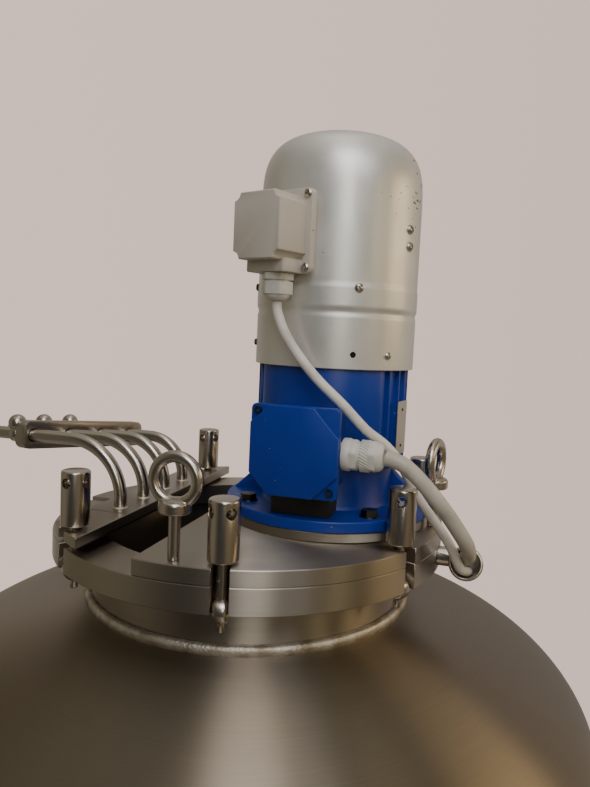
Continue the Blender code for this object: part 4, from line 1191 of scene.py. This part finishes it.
class TANK_OT_cowl(bpy.types.Operator):
    """Add the fan cowl with its bead, screws, rivets and hole"""
    bl_idname = "tank.cowl"
    bl_label = "Fan cowl"

    def execute(self, context):
        sizes = context.scene.tank_motor
        radius, top, dome, crown_power = sizes.cowl_radius, sizes.cowl_top, sizes.cowl_dome, 0.58
        profile = [(0, top)]
        for a in (pi / 2 * i / 36 for i in range(1, 37)):
            rise = max(0, cos(a)) ** crown_power
            profile.append((radius * sin(a) ** crown_power, dome + (top - dome) * rise))
        # The bead and the groove under it: how far they stand out, and their height
        for out, z in mm((0, 306), (0, 301.5), (0.8, 299), (0.8, 297), (0.8, 279), (0.8, 276.5), (0.2, 274.5),
                         (-0.8, 272.2), (-1, 270), (-0.6, 267.8), (0, 266), (0, 263.5), (0, 210), (0, 207.8),
                         (-0.8, 207)):
            profile.append((radius + out, z))
        profile += mm((95.8, 207), (95.5, 207.8), (95.5, 230.5), (0, 230.5))
        cowl = place(lathe("cowl_shell", profile, 192), MOTOR_SPOT)
        hole_degrees, hole_z = FRONT_HOLE
        hole_spot = MOTOR_SPOT @ shift(z=hole_z) @ turn(hole_degrees)
        cut(cowl, place(plate("cowl_hole", circle(0.0034, 28), 0.08, 0.105), hole_spot @ turn(90, "Y")))
        finish(cowl, cowl_paint, "fan_cowl", angle=30)
        # Screws and rivets: direction, height and radius of the head
        fixings = ((-63.2, 0.2976, 0.0053), (-38.9, 0.2239, 0.0044), (-158.8, 0.2985, 0.0046),
                   (-158.8, 0.232, 0.004), (118, 0.2966, 0.0046), (60, 0.2227, 0.004),
                   (-23, 0.3688, 0.0054), (-22.4, 0.3497, 0.0054))
        for number, (degrees, z, size) in enumerate(fixings, 1):
            outward = MOTOR_SPOT @ shift(z=z) @ turn(degrees) @ shift(x=radius + 0.0006) @ turn(90, "Y")
            screw = place(pan_screw(f"cowl_screw_{number}", size, size * 0.62), outward @ turn(31 * number))
            finish(screw, dark_hardware if number in (3, 4) else forged_steel)
        # Painted shade: a dark disc sunk in the open hole, so the hole looks dark as a shadowed gap instead
        # of showing the blue barrel behind it
        grub = lathe("cowl_grub", mm((0, 3), (1.2, 3), (1.4, 0), (3.3, 0), (3.3, -3), (0, -3)), 24)
        finish(place(grub, hole_spot @ shift(x=radius - 0.004) @ turn(90, "Y")), black_rubber)
        return {"FINISHED"}


class TANK_OT_terminal_box(bpy.types.Operator):
    """Add the terminal box with its raised cover and cover screws"""
    bl_idname = "tank.terminal_box"
    bl_label = "Terminal box"

    def execute(self, context):
        low, high = 0.0696, 0.1681
        mid = shift(0.0933, -0.145, LID_Z + (low + high) / 2) @ turn(90, "X")
        h, v, r = 0.0493, (high - low) / 2, 0.0055
        lug = (arc((h - r, v - r), r, 0, 90, 5) + arc((r - h, v - r), r, 90, 180, 5)
               + [(-h, 0.023 - v), (0.021 - h, -v)] + arc((h - r, r - v), r, 270, 360, 5))
        cover = round_edges(plate("box_casting", lug, -0.012, -0.0042), 0.0014, 3, 50)
        edge_h, edge_v = h - 0.0005, v - 0.0005
        octagon = [(edge_h, v - 0.031), (h - 0.028, edge_v), (0.022 - h, edge_v), (-edge_h, v - 0.02),
                   (-edge_h, 0.024 - v), (0.022 - h, -edge_v), (h - 0.027, -edge_v), (edge_h, 0.026 - v)]
        panel = round_edges(plate("box_panel", octagon, -0.006, 0), 0.0012, 3, 30)
        body = plate("box_body", round_rectangle(2 * h - 0.012, 2 * v - 0.012, 0.006), -0.075, -0.01)
        place(body, mid)
        cut(body, place(plate("box_saddle", circle(0.0928, 128), 0, 0.25), MOTOR_SPOT))
        box = join([place(cover, mid), place(panel, mid), body])
        finish(box, motor_enamel, "terminal_box")
        for number, (x, y) in enumerate(((0.0075 - h, v - 0.007), (h - 0.0085, 0.0085 - v)), 1):
            screw = lathe(f"box_screw_{number}", mm((2.2, -1.6), (2.4, 1.2), (4, 1.4), (4.6, 0.4),
                                                    (4.6, -2), (0, -2), (0, -1.6)), 30)
            finish(place(screw, mid @ shift(x, y, -0.0036)), dark_hardware)
        return {"FINISHED"}


class TANK_OT_control_box(bpy.types.Operator):
    """Add the control box with its base plate, gland boss and screws"""
    bl_idname = "tank.control_box"
    bl_label = "Control box"

    def execute(self, context):
        side = MOTOR_SPOT @ turn(CONTROL_DEG)
        outward = side @ STAND_UP
        base_spot, mid = outward @ shift(y=0.3556), outward @ shift(y=CONTROL_Z)
        base = plate("control_casting", round_rectangle(0.0791, 0.0914, 0.0075, 6), 0.0995, 0.1083)
        place(round_edges(base, 0.0012, 3, 50), base_spot)
        notched = []
        for sx, sy, start in ((1, 1, -90), (-1, 1, 0), (-1, -1, 90), (1, -1, 180)):
            notched += arc((sx * 0.03315, sy * 0.0355), 0.0085, start, start - 90, 7)
        body = round_edges(plate("control_body", notched, 0.1063, 0.153), 0.0016, 3, 50)
        boss = plate("control_boss", round_rectangle(0.056, 0.033, 0.004, 4), 0.3096, 0.324)
        round_edges(boss, 0.001)
        place(boss, side @ shift(x=0.1205) @ turn(90))
        saddle = plate("control_saddle", round_rectangle(0.05, 0.071, 0.002, 2), 0.088, 0.1015)
        cut(place(saddle, mid), place(plate("control_bore", circle(0.0983, 128), 0.2, 0.5), MOTOR_SPOT))
        box = join([base, place(body, mid), boss, saddle])
        finish(box, box_paint, "control_box")
        for number, (x, y) in enumerate(((1, 1), (1, -1), (-1, 1), (-1, -1)), 1):
            screw = pan_screw(f"control_screw_{number}", 0.005, 0.0032)
            place(screw, base_spot @ shift(x * 0.0335, y * 0.0395, 0.1083) @ turn(23 * number))
            finish(screw, forged_steel)
        return {"FINISHED"}


class TANK_OT_glands(bpy.types.Operator):
    """Add both cable glands with their hexagons, ribs and domed nuts"""
    bl_idname = "tank.glands"
    bl_label = "Cable glands"

    def execute(self, context):
        self.fan_gland()
        self.motor_gland()
        return {"FINISHED"}

    def hexagon(self, name, radius, low, high, edge):
        return round_edges(plate(name, gland_outline(radius), low, high), edge, 2, 25)

    def fan_gland(self):
        """Gland under the control box, drawn upside down from its lock ring."""
        r = 0.0182
        ring = self.hexagon("fan_gland_body", r, 0, 0.0076, 0.0008)
        neck = lathe("fan_gland_neck", cylinder(0.0146, 0, 0.0105), 48)
        cap = self.hexagon("fan_gland_cap", r * 0.97, 0.0092, 0.0232, 0.0008)
        dome = lathe("fan_gland_dome", mm((0, 15), (14.4, 15), (14.4, 23.8), (13.6, 25.8), (11.6, 28),
                                          (9, 29.4), (6.6, 30), (5.8, 29.8), (5.6, 28.5), (0, 28.5)), 56)
        spot = MOTOR_SPOT @ shift(z=0.3093) @ turn(CONTROL_DEG) @ shift(x=0.1175, y=0.003)
        gland = place(join([ring, neck, cap, dome]), spot @ turn(180, "X") @ turn(8))
        finish(gland, gland_polyamide, "fan_gland")

    def motor_gland(self):
        """Gland on the terminal box, drawn along its own axis and laid over."""
        collar = lathe("motor_gland_body", mm((0, 0), (12.5, 0), (12.5, 6), (17.2, 6.2), (17.8, 7.2),
                                              (17.8, 13.5), (17.4, 14.5), (0, 14.5)), 64)
        lock = self.hexagon("motor_gland_hex", 0.0178, 0.014, 0.0225, 0.0009)
        neck = lathe("motor_gland_neck", cylinder(0.015, 0.022, 0.027), 56)
        teeth = [polar(r, 11.25 * k + offset) for k in range(32)
                 for offset, r in ((-3.6, 0.0164), (-2, 0.0174), (2, 0.0174), (3.6, 0.0164))]
        ribbed = plate("motor_gland_ribs", teeth, 0.0262, 0.0352)
        apply_modifier(ribbed, "SIMPLE_DEFORM", "slant", deform_method="TWIST", angle=radians(16),
                       deform_axis="Z")
        cap = self.hexagon("motor_gland_cap", 0.0177, 0.0345, 0.0425, 0.0009)
        dome = lathe("motor_gland_dome", mm((0, 40), (16, 40), (16, 43.2), (15.2, 46.2), (13.4, 48.8),
                                            (11.2, 50.1), (9, 50.4), (8.8, 49), (0, 49)), 64)
        gland = join([collar, lock, neck, ribbed, cap, dome])
        place(gland, shift(0.1369, -0.12, LID_Z + 0.1178) @ turn(90, "Y") @ turn(14))
        finish(gland, gland_polyamide, "motor_gland")


class TANK_OT_sleeve(bpy.types.Operator):
    """Add the cable sleeve and its arm from the flange"""
    bl_idname = "tank.sleeve"
    bl_label = "Cable sleeve"

    def execute(self, context):
        outer, bore, length, lip = 0.02, 0.0155, 0.06, 0.0022
        crown = [(x, y - lip) for x, y in arc(((outer + bore) / 2, 0), (outer - bore) / 2, 180, 0, 10)]
        profile = [(0, 0.012 - length), (bore, 0.012 - length)] + crown
        profile += [(outer, 0.002 - length), (outer - 0.002, -length), (0, -length)]
        sleeve = lathe("sleeve_cup", profile, 96)
        place(sleeve, Matrix.Translation(SLEEVE_SPOT) @ turn(72, "X"))
        rim = context.scene.tank_closure.flange_radius
        root = sqrt(rim ** 2 - SLEEVE_SPOT.y ** 2) - 0.0005
        arm = lathe("sleeve_arm", mm((0, 30), (11.5, 30), (11.5, 2), (12.8, 0.6), (12.8, 0), (0, 0)), 56)
        place(arm, shift(root, -0.019, SLEEVE_SPOT.z) @ turn(90, "Y"))
        combine(sleeve, arm, "UNION")
        cut(sleeve, plate("sleeve_trim", circle(rim + 0.0003, 252), LID_Z - 0.05, LID_Z + 0.05))
        finish(sleeve, bright_bar, "cable_sleeve", angle=40)
        return {"FINISHED"}


class TANK_OT_number_plate(bpy.types.Operator):
    """Add the bare plate on the motor's side"""
    bl_idname = "tank.number_plate"
    bl_label = "Bare plate"

    def execute(self, context):
        label = round_edges(plate("bare_plate", round_rectangle(0.03, 0.064, 0.002, 3), 0, 0.0012), 0.0003, 1)
        spot = MOTOR_SPOT @ shift(z=0.1383) @ turn(-12.5) @ shift(x=0.0925) @ STAND_UP
        finish(place(label, spot), plain_label, "number_plate")
        for number, y in enumerate((0.0215, -0.0215), 1):
            rivet = lathe(f"plate_rivet_{number}", mm((0, 2.2), (1.2, 2), (2, 1.2), (2, 0), (0, 0)), 20)
            finish(place(rivet, spot @ shift(y=y)), dark_hardware)
        return {"FINISHED"}


GROUPS = (("tank_vessel", VesselSizes), ("tank_closure", ClosureSizes), ("tank_feed", FeedSizes),
          ("tank_motor", MotorSizes), ("tank_colours", Colours), ("tank_studio", StudioValues))
OPERATORS = (TANK_OT_stage, TANK_OT_cables, TANK_OT_vessel, TANK_OT_outlet, TANK_OT_legs, TANK_OT_neck,
             TANK_OT_lid, TANK_OT_dosing_bar, TANK_OT_bolts, TANK_OT_lifting_eyes, TANK_OT_dosing_tubes,
             TANK_OT_tube_clamp, TANK_OT_motor, TANK_OT_cowl, TANK_OT_terminal_box, TANK_OT_control_box,
             TANK_OT_glands, TANK_OT_sleeve, TANK_OT_number_plate)


class TANK_PT_panel(bpy.types.Panel):
    """Lists the sizes, the colours and the pieces"""
    bl_idname = "TANK_PT_panel"
    bl_label = "Dissolver tank"
    bl_space_type = "VIEW_3D"
    bl_region_type = "UI"
    bl_category = "Dissolver tank"

    def draw(self, context):
        for name, group in GROUPS:
            box = self.layout.box()
            box.label(text=group.__doc__)
            for key in group.__annotations__:
                box.prop(getattr(context.scene, name), key)
        for operator in OPERATORS:
            self.layout.operator(operator.bl_idname)


def register():
    for name, group in GROUPS:
        bpy.utils.register_class(group)
        setattr(bpy.types.Scene, name, bpy.props.PointerProperty(type=group))
    for item in (*OPERATORS, TANK_PT_panel):
        bpy.utils.register_class(item)


def unregister():
    for item in (TANK_PT_panel, *reversed(OPERATORS)):
        bpy.utils.unregister_class(item)
    for name, group in reversed(GROUPS):
        delattr(bpy.types.Scene, name)
        bpy.utils.unregister_class(group)


def main():
    register()
    for operator in OPERATORS:
        group, name = operator.bl_idname.split(".")
        getattr(getattr(bpy.ops, group), name)()


if __name__ == "__main__":
    main()
